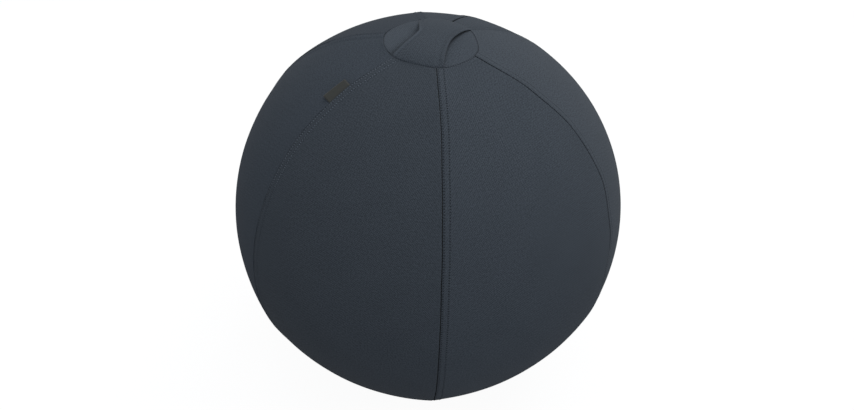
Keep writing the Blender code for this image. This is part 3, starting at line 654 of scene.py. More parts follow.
def round_sheet(name, material, radii, columns, place):
    """A disc of cloth: place(radius, azimuth) gives a point; its maps follow the flat cut."""
    corners, flat, rim = [place(0.0, 0.0)], [(0.0, 0.0)], [(radii[-1], 0.0)]
    for radius in radii:
        for column in range(columns):
            turn = tau * column / columns
            corners.append(place(radius, turn))
            flat.append((radius * sin(turn), -radius * cos(turn)))
            rim.append((radii[-1] - radius, radii[-1] * turn))
    ring = [[1 + r * columns + c for c in range(columns)] for r in range(len(radii))]
    faces = [(0, ring[0][c], ring[0][(c + 1) % columns]) for c in range(columns)]
    for inner, outer in zip(ring, ring[1:]):
        for c in range(columns):
            d = (c + 1) % columns
            faces.append((inner[c], outer[c], outer[d], inner[d]))
    mesh = new_mesh(name, corners, faces=faces)
    write_map(mesh, "weave", flat)
    write_map(mesh, "seam", rim)
    mesh.shade_smooth()
    return add_piece(name, mesh, material)


def rings(reach, edge, count, edge_count):
    """Radii from near the middle to the reach, closer together over the last stretch."""
    inside = [(reach - edge) * (i + 1) / count for i in range(count)]
    return inside + [reach - edge + edge * (i + 1) / edge_count for i in range(edge_count)]


def soft_wave(x, y, z, scale, seed):
    """A smooth uneven swell between about -1 and 1, the same in every run."""
    turns = np.random.default_rng(seed).uniform(0, tau, 6)
    return (
        sin(x * scale + turns[0]) * cos(y * scale * 1.27 + turns[1])
        + sin(y * scale * 0.83 + turns[2]) * cos(z * scale * 1.11 + turns[3])
        + sin((x + z) * scale * 1.61 + turns[4]) * cos((y - x) * scale * 0.71 + turns[5])
    ) / 2.2


print("a disc of", len(rings(1.0, 0.1, 10, 4)), "rings, for example")

# %% Top cap
CAP_REACH = BALL_RADIUS * RIM_POLAR


def rim_reach(turn):
    """Distance from the top to the cap's rim."""
    return BALL_RADIUS * rim_at(turn, RIM_POLAR)


# The cap's cloth is painted a little lighter, as painted light, and it carries the painted light and shade by
# the strap.
CAP_CLOTH = cloth_material("cap_cloth", scaled(SLATE, 1.08), (1.1 * MM,), worn_and_painted_shade=True)


def cap_point(radius, turn):
    out = direction(radius / CAP_REACH * rim_reach(turn) / BALL_RADIUS, turn)
    near = max(0.0, 1 - (CAP_REACH - radius) / (0.7 * MM))
    roll = max(0.0, 1 - (CAP_REACH - radius) / (4 * MM))
    swell = soft_wave(*out, 17.0, 5) * 0.25 * MM * (1 - near)
    return CENTRE + out * (BALL_RADIUS - 1.1 * MM * near**2 - 0.2 * MM * roll**2 + swell)


cap = round_sheet("cap", CAP_CLOTH, rings(CAP_REACH, 3.2 * MM, 24, 8), 160, cap_point)
thicken(cap, CLOTH)
print("cap:", len(cap.data.polygons), "faces")

# %% [markdown]
# The carry strap is a doubled, hemmed band of the cover cloth, broad where it is sewn into the cap's rim and
# narrow in the middle, where fingers go under it. Straps that lie flat can be a plane with thickness, but
# this one shows its edge and the dark gap under it. So it is lofted: closed cross-sections, each with rounded
# edges, a raised hem and the soft groove beside the hem, are joined from rim to rim. Light and shade are
# painted on both pieces: the strap's left hem gets a painted highlight with a painted dark line at its edge,
# and the cap gets a painted shadow along the strap's left edge and is painted lighter further out. Towards
# the rear rim the painting fades out. Both pieces carry an attribute for this that their cloth reads.

# %% Lofted strips


def loft(name, material, sections, maps):
    """A closed piece through loops of points, with its ends filled and a weave map for each point."""
    count = len(sections[0])
    corners = [point for section in sections for point in section]
    flat = [place for section in maps for place in section]
    faces = []
    for row in range(len(sections) - 1):
        for c in range(count):
            d = (c + 1) % count
            faces.append((row * count + c, row * count + d, (row + 1) * count + d, (row + 1) * count + c))
    faces.append(tuple(range(count)))
    faces.append(tuple(reversed(range(len(corners) - count, len(corners)))))
    mesh = new_mesh(name, corners, faces=faces)
    write_map(mesh, "weave", flat)
    work = bmesh.new()
    work.from_mesh(mesh)
    bmesh.ops.recalc_face_normals(work, faces=work.faces)
    bmesh.ops.triangulate(work, faces=[face for face in work.faces if len(face.verts) > 4])
    work.to_mesh(mesh)
    work.free()
    mesh.shade_smooth()
    return add_piece(name, mesh, material)


def steps(start, end, count):
    return [start + (end - start) * i / count for i in range(count + 1)]


print("a strip of 4 stretches has its sections at", steps(0, 1, 4), "of its length")

# %% Carry strap
STRAP_TURN = Matrix.Rotation(radians(3.2), 3, "Z")
STRAP_RIM, STRAP_LIFT, STRAP_GAP = 71.4 * MM, 4.8 * MM, 0.3 * MM
STRAP_FRONT = (37.5 * MM, 44.5 * MM)  # from its middle line to its left and its right edge
STRAP_WAIST = (23.0 * MM, 32.0 * MM)
STRAP_REAR = (43.2 * MM, 40.5 * MM)
STRAP_FLARE, REAR_LEFT_FLARE = 1.55, 1.2
STRAP_TUCKS = ((1.006, 0.9 * MM), (1.016, 2.6 * MM))  # past the rim both ends turn down into the seam
# Where, towards the rear rim, the painted light and shade by the strap fades out and is gone.
PAINTED_SHADE_FADES, PAINTED_SHADE_GONE = 0.02, 0.40  # where, on the way to the rear rim
HEM_WIDTH = 13 * MM
STRAP_OFFSET = Vector((-2.1 * MM, 1.7 * MM, 0))
HEM_PROFILE = (  # distance from the strap's edge and height over its flat middle, in mm
    (0.0, -1.3), (0.2, -0.45), (0.6, 0.10), (1.4, 0.60), (2.8, 0.85), (4.2, 0.60), (5.4, 0.0),
    (6.4, -0.60), (7.6, -0.75), (9.5, -0.40), (13.0, 0.0),
)
# The strap's cloth carries the painted highlight and painted shade of its left hem.
STRAP_CLOTH = cloth_material("strap_cloth", SLATE, worn_and_painted_shade=True)


def strap_half_width(along, side):
    """Distance from the strap's middle line to its left (0) or right (1) edge."""
    end = STRAP_FRONT[side] if along < 0 else STRAP_REAR[side]
    reach = min(1.0, abs(along))
    flare = sin(reach * pi / 2) ** REAR_LEFT_FLARE if along > 0 and side == 0 else reach**STRAP_FLARE
    return STRAP_WAIST[side] + (end - STRAP_WAIST[side]) * flare


def strap_level(across, along):
    """Point on the strap's underside, from -1 at the front rim to 1 at the rear."""
    end = min(1.0, abs(along))
    reach = sqrt(STRAP_RIM**2 - across**2) * (1 if along > 0 else -1)
    for _ in range(3):
        place = STRAP_TURN @ Vector((across, reach, 0)) + STRAP_OFFSET
        rim = BALL_RADIUS * sin(rim_reach(atan2(place.x, -place.y)) / BALL_RADIUS) - 0.4 * MM
        reach *= rim / place.length
    place = STRAP_TURN @ Vector((across, abs(along) * reach, 0)) + STRAP_OFFSET
    level = sqrt(BALL_RADIUS**2 - place.x**2 - place.y**2)
    side = across / strap_half_width(along, 1 if across > 0 else 0)
    power = 2.0 if along > 0 else 4.2 + (2.4 if side > 0 else 0.8) * side
    lift = STRAP_LIFT * (1 - end**power)
    if along > 0 and side < 0:  # the left edge comes down on the cap towards the rear rim
        lift *= 1 - side**2 * clamp((end - 0.3) / 0.5)
        lift -= 1.6 * MM * side**4 * clamp((end - 0.3) / 0.3)
    return Vector((place.x, place.y, CENTRE.z + level + STRAP_GAP + lift))


def strap_section(along, tuck):
    """Loop of points round the strap, and each point's place on the flat cloth."""
    ends = 1 - min(1.0, abs(along)) ** 8
    thickness = (1.2 + 1.0 * ends) * MM
    left, right = strap_half_width(along, 0), strap_half_width(along, 1)
    hem = [(away * MM, thickness + rise * MM * (0.45 + 0.55 * ends)) for away, rise in HEM_PROFILE]
    flat_width = left + right - 2 * HEM_WIDTH
    middle = [(HEM_WIDTH - left + flat_width * share, thickness) for share in (0.12, 0.3, 0.5, 0.7, 0.88)]
    under = [(0.5 * MM, (0.4 + 0.5 * ends) * MM), (3 * MM, (0.3 + 0.2 * ends) * MM), (8 * MM, 0.0)]
    outline = [(away - left, rise) for away, rise in hem] + middle
    outline += [(right - away, rise) for away, rise in hem[::-1] + under] + [(0.0, 0.0)]
    outline += [(away - left, rise) for away, rise in reversed(under)]
    loop = [strap_level(across, along) + Vector((0, 0, rise - tuck)) for across, rise in outline]
    return loop, [(across, along * STRAP_RIM) for across, _ in outline]


stations = [(-along, tuck) for along, tuck in reversed(STRAP_TUCKS)]
stations += [(along, 0.0) for along in steps(-1, 1, 64)] + list(STRAP_TUCKS)
strap_loops = [strap_section(along, tuck) for along, tuck in stations]
strap = loft("strap", STRAP_CLOTH, [loop for loop, _ in strap_loops], [flat for _, flat in strap_loops])
touch_strap = feel([strap])


def ease(value):
    value = clamp(value)
    return value * value * (3 - 2 * value)


def mark_wear(piece, rule):
    """Write the painted light (above 0) and painted shade (below 0) of each point, by its distance left of
    the strap in mm.
    """
    wear = piece.data.attributes.new("wear", "FLOAT", "POINT")
    for vertex, value in zip(piece.data.vertices, wear.data):
        place = STRAP_TURN.transposed() @ (Vector((vertex.co.x, vertex.co.y, 0)) - STRAP_OFFSET)
        reach = sqrt(max(1e-6, STRAP_RIM**2 - place.x**2))
        along = clamp(place.y / reach, -1.0)
        outside = -place.x - strap_half_width(along, 0)
        value.value = rule(outside / MM) * (1 - ease((along - PAINTED_SHADE_FADES) / (PAINTED_SHADE_GONE - PAINTED_SHADE_FADES)))


# The cap: a painted shadow along the strap's left edge, and painted lighter further out to the left.
mark_wear(cap, lambda left: 0.0 if left < -4 else 0.45 - 1.8 * (1 - ease(left / 18)))
# The strap: a painted highlight on its left hem and a painted dark line at its very edge.
mark_wear(strap, lambda left: 0.9 * ease((6.5 + left) / 2) - 1.4 * ease((1.6 + left) / 1.2))
print("strap top at", round(max(v.co.z for v in strap.data.vertices), 4), "m")

# %% [markdown]
# A loop of thin satin ribbon is caught in the seam left of the front gore. It could be a flat block, but a
# fold shows a round edge and two layers. So its section is drawn as one line that goes out from the seam,
# folds over and comes back, and that line is given the ribbon's thickness on both sides.

# %% Folded tab
TAB_POLAR, TAB_LENGTH, TAB_REACH, RIBBON = radians(30.05), 40 * MM, 15 * MM, 0.55 * MM
TAB_LINE = (  # reach from the seam over the left gore and height over it, in mm
    (0.5, -2.4), (0.9, -0.1), (2.0, 0.75), (5.0, 1.15), (9.0, 1.75), (13.0, 2.40), (14.4, 2.62),
    (15.05, 2.95), (15.05, 3.35), (14.4, 3.62), (13.0, 3.50), (9.0, 2.85), (5.0, 2.15), (2.0, 1.60),
    (0.4, 1.0), (-0.4, -0.1), (-0.6, -2.4),
)


def ribbon_outline(line, thickness):
    """Closed outline about a line in the plane, half the thickness away on each side."""
    line = [Vector(point) for point in line]
    sides = []
    for index, point in enumerate(line):
        way = line[min(index + 1, len(line) - 1)] - line[max(index - 1, 0)]
        sides.append(Vector((-way.y, way.x)).normalized() * thickness / 2)
    return [p + s for p, s in zip(line, sides)] + [p - s for p, s in reversed(list(zip(line, sides)))]


def seam_azimuth(seam, polar):
    return swayed(radians(seam), seam_shape(seam)[0], polar)


def ribbon_material():
    material, tree = new_material("tab_ribbon", {"Roughness": 0.6, "Specular IOR Level": 0.25})
    u, v, _ = map_place(tree, "weave").parts()
    ribs, picks = u.wave(0.9 * MM), v.wave(0.7 * MM)
    wear = flow(tree, "ShaderNodeTexNoise", {"Scale": 160.0, "Detail": 3.0})
    tone = ribs * 0.25 + picks * 0.15 + wear * 0.7 - 0.05
    tint = shades(tree, tone, (0.0132, 0.0152, 0.0143), (0.0262, 0.0288, 0.0268))
    return dress(material, tint, ribs * 0.6 + picks * 0.4, 0.12 * MM, 0.3)


outline = ribbon_outline([(x * MM, y * MM) for x, y in TAB_LINE], RIBBON)
tab_loops, tab_maps = [], []
for along in steps(-TAB_LENGTH / 2, TAB_LENGTH / 2, 16):
    polar_here = TAB_POLAR + along / BALL_RADIUS
    seam_here = seam_azimuth(TAB_SEAM, polar_here)
    circle_here = BALL_RADIUS * sin(polar_here)
    curl = 0.35 * MM * (2 * along / TAB_LENGTH) ** 2
    skew = 1 + 0.22 * along / TAB_LENGTH
    places = [(q * skew / circle_here, h + curl * max(0, q) / TAB_REACH) for q, h in outline]
    tab_loops.append([on_ball(polar_here, seam_here - turn, height) for turn, height in places])
    tab_maps.append([(along, i * 0.9 * MM) for i in range(len(outline))])
tab = loft("tab", ribbon_material(), tab_loops, tab_maps)
print("tab:", len(tab.data.polygons), "faces")

# %% [markdown]
# Under the ball a cloth disc closes the cover, and a rubber pad is glued to it. The pad has the raised grip
# dots of a non-slip sole. A few hundred equal dots are a job for Geometry Nodes: a tree puts one small dome
# on each point of a sunflower pattern, which fills a disc evenly with no rows that could be seen.

# %% Base cloth and grip pad
BASE_HEIGHT, PAD_RADIUS, DOT_HEIGHT, DOT_COUNT = 1.5 * MM, 84 * MM, 0.5 * MM, 640
PAD_EDGE = ((0.8, 1.2), (0.15, 1.1), (0.0, 0.85), (0.2, 0.6), (1.0, 0.5))  # inset and height, in mm
GROOVE = ((2.2, 0.5), (1.7, 0.75), (-1.7, 0.75), (-2.2, 0.5))  # reach from its middle and height, in mm
GROOVE_RADII = (68 * MM, 52 * MM)
BASE_CLOTH = cloth_material("base_cloth", scaled(SLATE, 0.8), (2.5 * MM,))


def base_point(radius, turn):
    near = max(0.0, 1 - (BASE_RADIUS - radius) / (1.6 * MM))
    return Vector((radius * sin(turn), radius * cos(turn), BASE_HEIGHT + 2.4 * MM * near**2))


base_radii = rings(BASE_RADIUS - 0.1 * MM, 6 * MM, 14, 8)
base_cloth = round_sheet("base_cloth", BASE_CLOTH, base_radii, 128, base_point)
thicken(base_cloth, CLOTH)


def moulded_material(name, dark, light, roughness, ior, clouds, skin, depth, strength, contrast=(1.0, 0.0)):
    """Rubber or plastic from a mould: cloudy, with a fine skin. Each noise has a scale and a detail."""
    material, tree = new_material(name, {"Roughness": roughness, "IOR": ior})
    place = object_place(tree)
    tone = noise(tree, place, *clouds) * contrast[0] + contrast[1]
    return dress(material, shades(tree, tone, dark, light), noise(tree, place, *skin), depth, strength)


GRIP_RUBBER = moulded_material(
    "grip_rubber", (0.012, 0.012, 0.013), (0.030, 0.030, 0.031), 0.78, 1.5,
    (60.0, 5.0), (900.0, 2.0), 0.15 * MM, 0.25, contrast=(1.4, -0.3),
)
pad_profile = [(PAD_RADIUS - inset * MM, z * MM) for inset, z in PAD_EDGE]
for groove in GROOVE_RADII:
    pad_profile += [(groove + reach * MM, z * MM) for reach, z in GROOVE]
pad_profile += [(30 * MM, 0.5 * MM), (8 * MM, 0.5 * MM)]


def piece_from(work, name, material, sharp):
    """A smooth piece from a mesh under work, with edges over an angle kept sharp."""
    mesh = bpy.data.meshes.new(name)
    work.to_mesh(mesh)
    work.free()
    mesh.shade_smooth()
    mesh.set_sharp_from_angle(angle=sharp)
    return add_piece(name, mesh, material)


def turned(name, material, profile, columns):
    """A closed piece turned about the vertical line, from its top face round to its bottom face."""
    work = bmesh.new()
    ways = [(sin(tau * c / columns), cos(tau * c / columns)) for c in range(columns)]
    loops = [[work.verts.new((radius * x, radius * y, z)) for x, y in ways] for radius, z in profile]
    for upper, lower in zip(loops, loops[1:]):
        for c in range(columns):
            d = (c + 1) % columns
            work.faces.new((upper[c], upper[d], lower[d], lower[c]))
    work.faces.new(loops[0])
    work.faces.new(loops[-1])
    bmesh.ops.recalc_face_normals(work, faces=work.faces)
    return piece_from(work, name, material, radians(40))


pad = turned("grip_sole", GRIP_RUBBER, pad_profile, 96)
print("pad:", len(pad.data.polygons), "faces")

# %% Grip dots
dot_tree, size = geometry_tree("grip dots", {"Dot radius": 1.5 * MM, "Dot height": DOT_HEIGHT})
dome = flow(dot_tree, "GeometryNodeMeshUVSphere", {"Segments": 8, "Rings": 4, "Radius": 1.0})
squash = vector(dot_tree, size["Dot radius"], size["Dot radius"], size["Dot height"])
dotted = {"Points": size["Geometry"], "Instance": dome, "Scale": squash}
end_tree(dot_tree, flow(dot_tree, "GeometryNodeInstanceOnPoints", dotted), size)
GOLDEN = pi * (3 - sqrt(5))
dot_points = []
for index in range(DOT_COUNT):
    reach = (PAD_RADIUS - 3 * MM) * sqrt((index + 0.5) / DOT_COUNT)
    if all(abs(reach - groove) > 3.8 * MM for groove in GROOVE_RADII):
        dot_points.append((reach * cos(index * GOLDEN), reach * sin(index * GOLDEN), DOT_HEIGHT))
dots = grow("grip_dots", dot_tree, GRIP_RUBBER, {}, new_mesh("grip_dots", dot_points))
print("grip dots:", len(dot_points))

# %% [markdown]
# The zip lies in the centre-back seam. Its tapes are woven bands that run under the cover's folded edges, so
# they are lofted like the strap. The teeth repeat, so a tree sets one tooth on each point of a line down the
# tape. Each point's tangent and the line from the ball's centre turn the tooth the right way.

# %% Zip tapes
TAPE_INNER, TAPE_WIDTH, TAPE_HALF, TAPE_BEND = 3.9 * MM, 13 * MM, 0.35 * MM, 7.5 * MM
TAPE_CORD = ((0.0, 0.15), (0.5, 0.5), (1.4, 0.45), (2.0, 0.35))  # reach from the inner edge and height, in mm


def on_zip(length, across, height):
    """Point at a length from the zip's upper end, across the chain towards -X, above its middle."""
    out = direction(ZIP_TOP + length / CHAIN_RADIUS, pi)
    return CENTRE + out * (CHAIN_RADIUS + height) - Vector((across, 0, 0))


def tape_material():
    values = {"Roughness": 0.7, "Sheen Weight": 0.04, "Specular IOR Level": 0.05}
    material, tree = new_material("zip_tape", values)
    u, v, _ = map_place(tree, "weave").parts()
    ribs = ((u * (tau / (5 * MM))).sine().math("ABSOLUTE") * (1.6 * MM) + v).wave(1.1 * MM)
    lint = flow(tree, "ShaderNodeTexNoise", {"Scale": 240.0, "Detail": 3.0})
    tint = shades(tree, ribs * 0.5 + lint * 0.7 - 0.1, (0.017, 0.022, 0.029), (0.032, 0.040, 0.051))
    return dress(material, tint, ribs, 0.2 * MM, 0.4)


ZIP_TAPE = tape_material()
for side, name in ((1, "right"), (-1, "left")):
    loops, maps = [], []
    for length_here in steps(0, ZIP_LENGTH, 90):
        circle_here = BALL_RADIUS * sin(ZIP_TOP + length_here / CHAIN_RADIUS)
        fall = (TAPE_INNER + TAPE_WIDTH) / circle_here * (circle_here * radians(7.5) / 2 + 7.64 * MM)
        outer = TAPE_INNER + TAPE_WIDTH
        section = [(TAPE_INNER + x * MM, h * MM) for x, h in TAPE_CORD]
        section += [(TAPE_BEND, TAPE_HALF), (outer, TAPE_HALF - fall), (outer, -TAPE_HALF - fall)]
        section += [(TAPE_BEND, -TAPE_HALF), (TAPE_INNER, -TAPE_HALF)]
        loops.append([on_zip(length_here, side * x, h) for x, h in section])
        maps.append([(x, length_here) for x, _ in section])
    loft(f"tape_{name}", ZIP_TAPE, loops, maps)

# %% One tooth on each point
TOOTH_PITCH, TEETH_START, TEETH_END = 4.5 * MM, 13.6 * MM, 332.0 * MM
TOOTH_LENGTH, TOOTH_SHIFT = 1.95 * MM, 1.25 * MM
HARD_PLASTIC = dict(ior=1.49, clouds=(90.0, 3.0), skin=(1400.0, 1.0), depth=0.05 * MM, strength=0.2)


def aligned(tree, size):
    """Rotation with Z away from the ball's centre and X along the line the point is on."""
    here = flow(tree, "GeometryNodeInputPosition")
    outward = flow(tree, "ShaderNodeVectorMath", {"Vector": here}, operation="SUBTRACT")
    plug(size["Centre"], outward.socket.node.inputs[1])
    standing = flow(tree, "FunctionNodeAlignRotationToVector", {"Vector": outward}, axis="Z")
    turning = {"Rotation": standing, "Vector": flow(tree, "GeometryNodeInputTangent")}
    return flow(tree, "FunctionNodeAlignRotationToVector", turning, axis="X", pivot_axis="Z")


def set_on_lines(tree, size, item):
    """Close a tree that sets one item on each point of the lines it is given."""
    line = flow(tree, "GeometryNodeMeshToCurve", {"Mesh": size["Geometry"]})
    placed = {"Points": line, "Instance": item, "Rotation": aligned(tree, size)}
    end_tree(tree, flow(tree, "GeometryNodeInstanceOnPoints", placed), size)


ZIP_PLASTIC = moulded_material(
    "zip_teeth", (0.020, 0.023, 0.027), (0.036, 0.040, 0.046), 0.38, **HARD_PLASTIC
)
tooth_sizes = {"Tooth length": TOOTH_LENGTH, "Tooth reach": 4.7 * MM, "Tooth height": 2.6 * MM}
tooth_tree, size = geometry_tree("zip teeth", {"Centre": CENTRE, **tooth_sizes, "Side shift": TOOTH_SHIFT})
tooth_length, tooth_reach, tooth_height = (size[label] for label in tooth_sizes)
block_size = {"Size": vector(tooth_tree, tooth_length, tooth_reach, tooth_height)}
block_size |= {"Vertices X": 3, "Vertices Y": 4, "Vertices Z": 3}
block = flow(tooth_tree, "GeometryNodeMeshCube", block_size)
x_place, y_place, z_place = flow(tooth_tree, "GeometryNodeInputPosition").parts()
x_share, y_share, z_share = x_place / tooth_length, y_place / tooth_reach, z_place / tooth_height
waist = 1 - y_share.hump(0.12, 0.16) * 0.22
x_round = 1 - z_share.math("ABSOLUTE") * 0.30
z_round = 1 - x_share.math("ABSOLUTE") * 0.26 - y_share.math("ABSOLUTE") * 0.22
shaped = vector(tooth_tree, x_place * waist * x_round, y_place, z_place * z_round)
moulded = {"Geometry": block, "Position": shaped, "Offset": vector(tooth_tree, y=size["Side shift"])}
set_on_lines(tooth_tree, size, flow(tooth_tree, "GeometryNodeSetPosition", moulded))


def line_mesh(name, lines):
    """Mesh of open lines through rows of points."""
    corners, edges = [], []
    for points_here in lines:
        start = len(corners)
        corners += points_here
        edges += [(start + i, start + i + 1) for i in range(len(points_here) - 1)]
    return new_mesh(name, corners, edges)


teeth = {}
for side, name, first in ((1, "right", 0.0), (-1, "left", TOOTH_PITCH / 2)):
    places = np.arange(TEETH_START + first + TOOTH_LENGTH / 2, TEETH_END - TOOTH_LENGTH / 2, TOOTH_PITCH)
    mesh = line_mesh(f"teeth_{name}", [[on_zip(place, 0.0, 0.0) for place in places]])
    teeth[name] = grow(f"teeth_{name}", tooth_tree, ZIP_PLASTIC, {"Side shift": -side * TOOTH_SHIFT}, mesh)
print("zip teeth:", {name: len(half.data.polygons) for name, half in teeth.items()})

# %% [markdown]
# Slider and pull are small castings in painted zinc. Their solids already have the right shape, so copies of
# them are merged and given the rounded edges that a casting has, and the paint is worn a little along them.

# %% Zip slider, pull and stops


def metal_material():
    material, tree = new_material("zip_metal", {"Metallic": 0.35, "IOR": 1.5})
    edge = flow(tree, "ShaderNodeNewGeometry", output="Pointiness")
    scuff = noise(tree, object_place(tree), 420.0, 4.0)
    worn_and_painted_shade = ((edge - 0.53) * 9 + scuff - 0.6).clamped()
    plug(scuff * 0.25 + 0.30, tree.nodes["Principled BSDF"].inputs["Roughness"])
    tint = shades(tree, worn_and_painted_shade * 0.7, (0.045, 0.047, 0.051), (0.30, 0.30, 0.31))
    return dress(material, tint, scuff, 0.05 * MM, 0.2)


def softened(name, node, material, edge):
    """Merged copy of a solid with its sharp edges rounded."""
    work = bmesh.new()
    work.from_mesh(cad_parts[node].data)
    bmesh.ops.remove_doubles(work, verts=work.verts, dist=1e-6)
    bmesh.ops.dissolve_limit(work, angle_limit=radians(2), verts=work.verts, edges=work.edges)
    mesh = bpy.data.meshes.new(name)
    work.to_mesh(mesh)
    work.free()
    piece = add_piece(name, mesh, material)
    modifier = piece.modifiers.new("rounded edges", "BEVEL")
    modifier.width, modifier.segments, modifier.use_clamp_overlap = edge, 2, True
    modifier.limit_method, modifier.angle_limit = "ANGLE", radians(40)
    settle(piece)
    piece.data.shade_smooth()
    piece.data.set_sharp_from_angle(angle=radians(50))
    return piece


ZIP_METAL = metal_material()
slider = softened("slider_casting", "zip_slider", ZIP_METAL, 0.25 * MM)
pull = softened("pull_casting", "zip_pull", ZIP_METAL, 0.3 * MM)
for node in ("zip_end_stop", "zip_lower_stop_left", "zip_lower_stop_right"):
    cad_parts[node].material_slots[0].material = ZIP_METAL
print("slider and pull:", len(slider.data.polygons), len(pull.data.polygons), "faces")

# %% [markdown]
# Two rows of stitches hold down every felled seam, and single rows run along the zip, the strap's hems and
# the base. One tree sews them all: it takes lines whose points are the middles of the stitches, and sets a
# short arched piece of thread on each. The thread is twisted. Down the upper part of the seam by the tab it
# is painted pale as a painted highlight, and the same pale thread sews the base; elsewhere it is close to the
# cloth in tone.

# %% One stitch on each point
stitch_sizes = {"Centre": CENTRE, "Stitch length": 2.3 * MM, "Thread": 0.8 * MM, "Arch": 0.5 * MM}
stitch_tree, size = geometry_tree("stitches", stitch_sizes)
half_stitch = size["Stitch length"] * 0.5
bend = {
    label: vector(stitch_tree, half_stitch * way, 0.0, size["Arch"] * rise)
    for label, way, rise in (("Start", -1, -1.3), ("Middle", 0, 1.6), ("End", 1, -1.3))
}
arch = flow(stitch_tree, "GeometryNodeCurveQuadraticBezier", {"Resolution": 4, **bend})
thread_size = {"Resolution": 6, "Radius": size["Thread"] * 0.5}
thread = flow(stitch_tree, "GeometryNodeCurvePrimitiveCircle", thread_size)
swept = {"Curve": arch, "Profile Curve": thread, "Fill Caps": True}
stitch = flow(stitch_tree, "GeometryNodeCurveToMesh", swept)
set_on_lines(stitch_tree, size, stitch)


def thread_material(name, share):
    """Twisted thread whose colour is a share of the cloth's."""
    material, tree = new_material(name, {"Roughness": 0.6, "Specular IOR Level": 0.0, "Sheen Weight": 0.041})
    x, y, z = object_place(tree).parts()
    twist = (x + y + z * 1.7).wave(0.55 * MM)
    tint = shades(tree, twist, scaled(SLATE, 0.8 * share), scaled(SLATE, 1.2 * share))
    return dress(material, tint, twist, 0.1 * MM, 0.4)


# The pale thread is a painted highlight.
THREAD = thread_material("sewing_thread", 2.7)
print("stitch tree:", len(stitch_tree.nodes), "nodes")

# %% Sew the seams
RISE = 0.12 * MM
# The stitches down the seam by the tab that get the pale thread, as a painted highlight.
PALE_STITCHES = 66  # down the seam by the tab, where the thread shows pale


def seam_row(seam, offset, first, last, opening=False):
    """Middles of the stitches of one row, at an offset from a seam's ditch, resting on the cloth."""
    middles = []
    rim_azimuth_here = seam_azimuth(seam, RIM_POLAR) + offset / (BALL_RADIUS * sin(RIM_POLAR))
    start = rim_reach(rim_azimuth_here) / BALL_RADIUS
    for index in range(int((last - first) / STITCH_PITCH)):
        polar_here = start + (first + (index + 0.5) * STITCH_PITCH) / BALL_RADIUS
        circle_here = BALL_RADIUS * sin(polar_here)
        azimuth_here = seam_azimuth(seam, polar_here) + offset / circle_here
        if opening:
            drawn_back = ZIP_HALF_OPENING * zip_opened(polar_here) / circle_here
            azimuth_here += drawn_back if offset > 0 else -drawn_back
        middles.append(touch_cover(polar_here, azimuth_here) + direction(polar_here, azimuth_here) * RISE)
    return middles


cover_length = (COVER_BOTTOM - RIM_POLAR) * BALL_RADIUS


def both_rows(seam, first, last):
    """The two rows of a seam between two distances from the rim."""
    return [seam_row(seam, offset, first, last, seam == ZIP_SEAM) for offset in STITCH_ROWS]


row_first, row_last = STITCH_PITCH, cover_length - 2 * STITCH_PITCH
row_middle = PALE_STITCHES * STITCH_PITCH
front_lines = both_rows(TAB_SEAM, row_first, row_middle)
back_lines = both_rows(TAB_SEAM, row_middle, row_last)
for seam in SEAMS:
    if seam != TAB_SEAM:
        back_lines += both_rows(seam, row_first, row_last)
zip_from = (ZIP_TOP - RIM_POLAR) * BALL_RADIUS
back_lines.append(seam_row(ZIP_SEAM, -3 * MM, zip_from - 6 * MM, zip_from + ZIP_LENGTH + 8 * MM, True))
DULL_THREAD = thread_material("dull_thread", 1.25)
stitches = grow("seam_stitches", stitch_tree, THREAD, {}, line_mesh("seam_stitches", front_lines))
back_stitches = grow("back_stitches", stitch_tree, DULL_THREAD, {}, line_mesh("back_stitches", back_lines))
seam_lines = front_lines + back_lines
print("seam stitches:", sum(len(row) for row in seam_lines), "in", len(seam_lines), "rows")

# %% Sew the strap's hems and the base


def hem_row(side, away):
    """Middles of the stitches beside one edge of the strap."""
    middles, walked, before = [], 0.0, None
    for along in steps(-0.985, 0.985, 800):
        point = strap_level((2 * side - 1) * (strap_half_width(along, side) - away), along)
        walked += (point - before).length if before else STITCH_PITCH
        before = point
        if walked >= STITCH_PITCH:
            walked -= STITCH_PITCH
            out = (point - CENTRE).normalized()
            middles.append(touch_strap(out.angle(Vector((0, 0, 1))), atan2(out.x, -out.y)) + out * 0.05 * MM)
    return middles


HEM_ROW, BASE_ROW = 5.6 * MM, BASE_RADIUS - 3 * MM
hem_lines = [hem_row(side, HEM_ROW) for side in (0, 1)]
HEM_THREAD = thread_material("hem_thread", 0.9)
hem_mesh = line_mesh("hem_stitches", hem_lines)
hem_stitches = grow("hem_stitches", stitch_tree, HEM_THREAD, {"Thread": 0.6 * MM}, hem_mesh)
base_count = int(tau * BASE_ROW / STITCH_PITCH)
turns = [tau * index / base_count for index in range(base_count)]
base_line = [Vector((BASE_ROW * sin(turn), BASE_ROW * cos(turn), BASE_HEIGHT - 0.1 * MM)) for turn in turns]
base_stitches = grow("base_stitches", stitch_tree, THREAD, {}, line_mesh("base_stitches", [base_line]))
print("hem stitches:", [len(row) for row in hem_lines], "base stitches:", base_count)

# %% [markdown]
# Inside the cover are the pieces that nobody sees until the zip is opened: the vinyl ball with its moulded
# rings and valve, and a bag of sand in a lining pocket on the base. They are soft, so the plain solids are
# replaced by fuller forms.

# %% Vinyl ball
BLADDER_RADIUS, BLADDER_WALL = 317.2 * MM, 1.2 * MM
RING_PITCH, RING_RISE, RINGS_REACH = 24 * MM, 0.7 * MM, 170 * MM
VALVE = direction(pi / 2, radians(155))


def moulded_ring(height):
    """Rise of the raised rings that are moulded round a vinyl ball, by the height over its middle."""
    return RING_RISE * max(0.0, cos(height * tau / RING_PITCH)) ** 6 if abs(height) < RINGS_REACH else 0.0


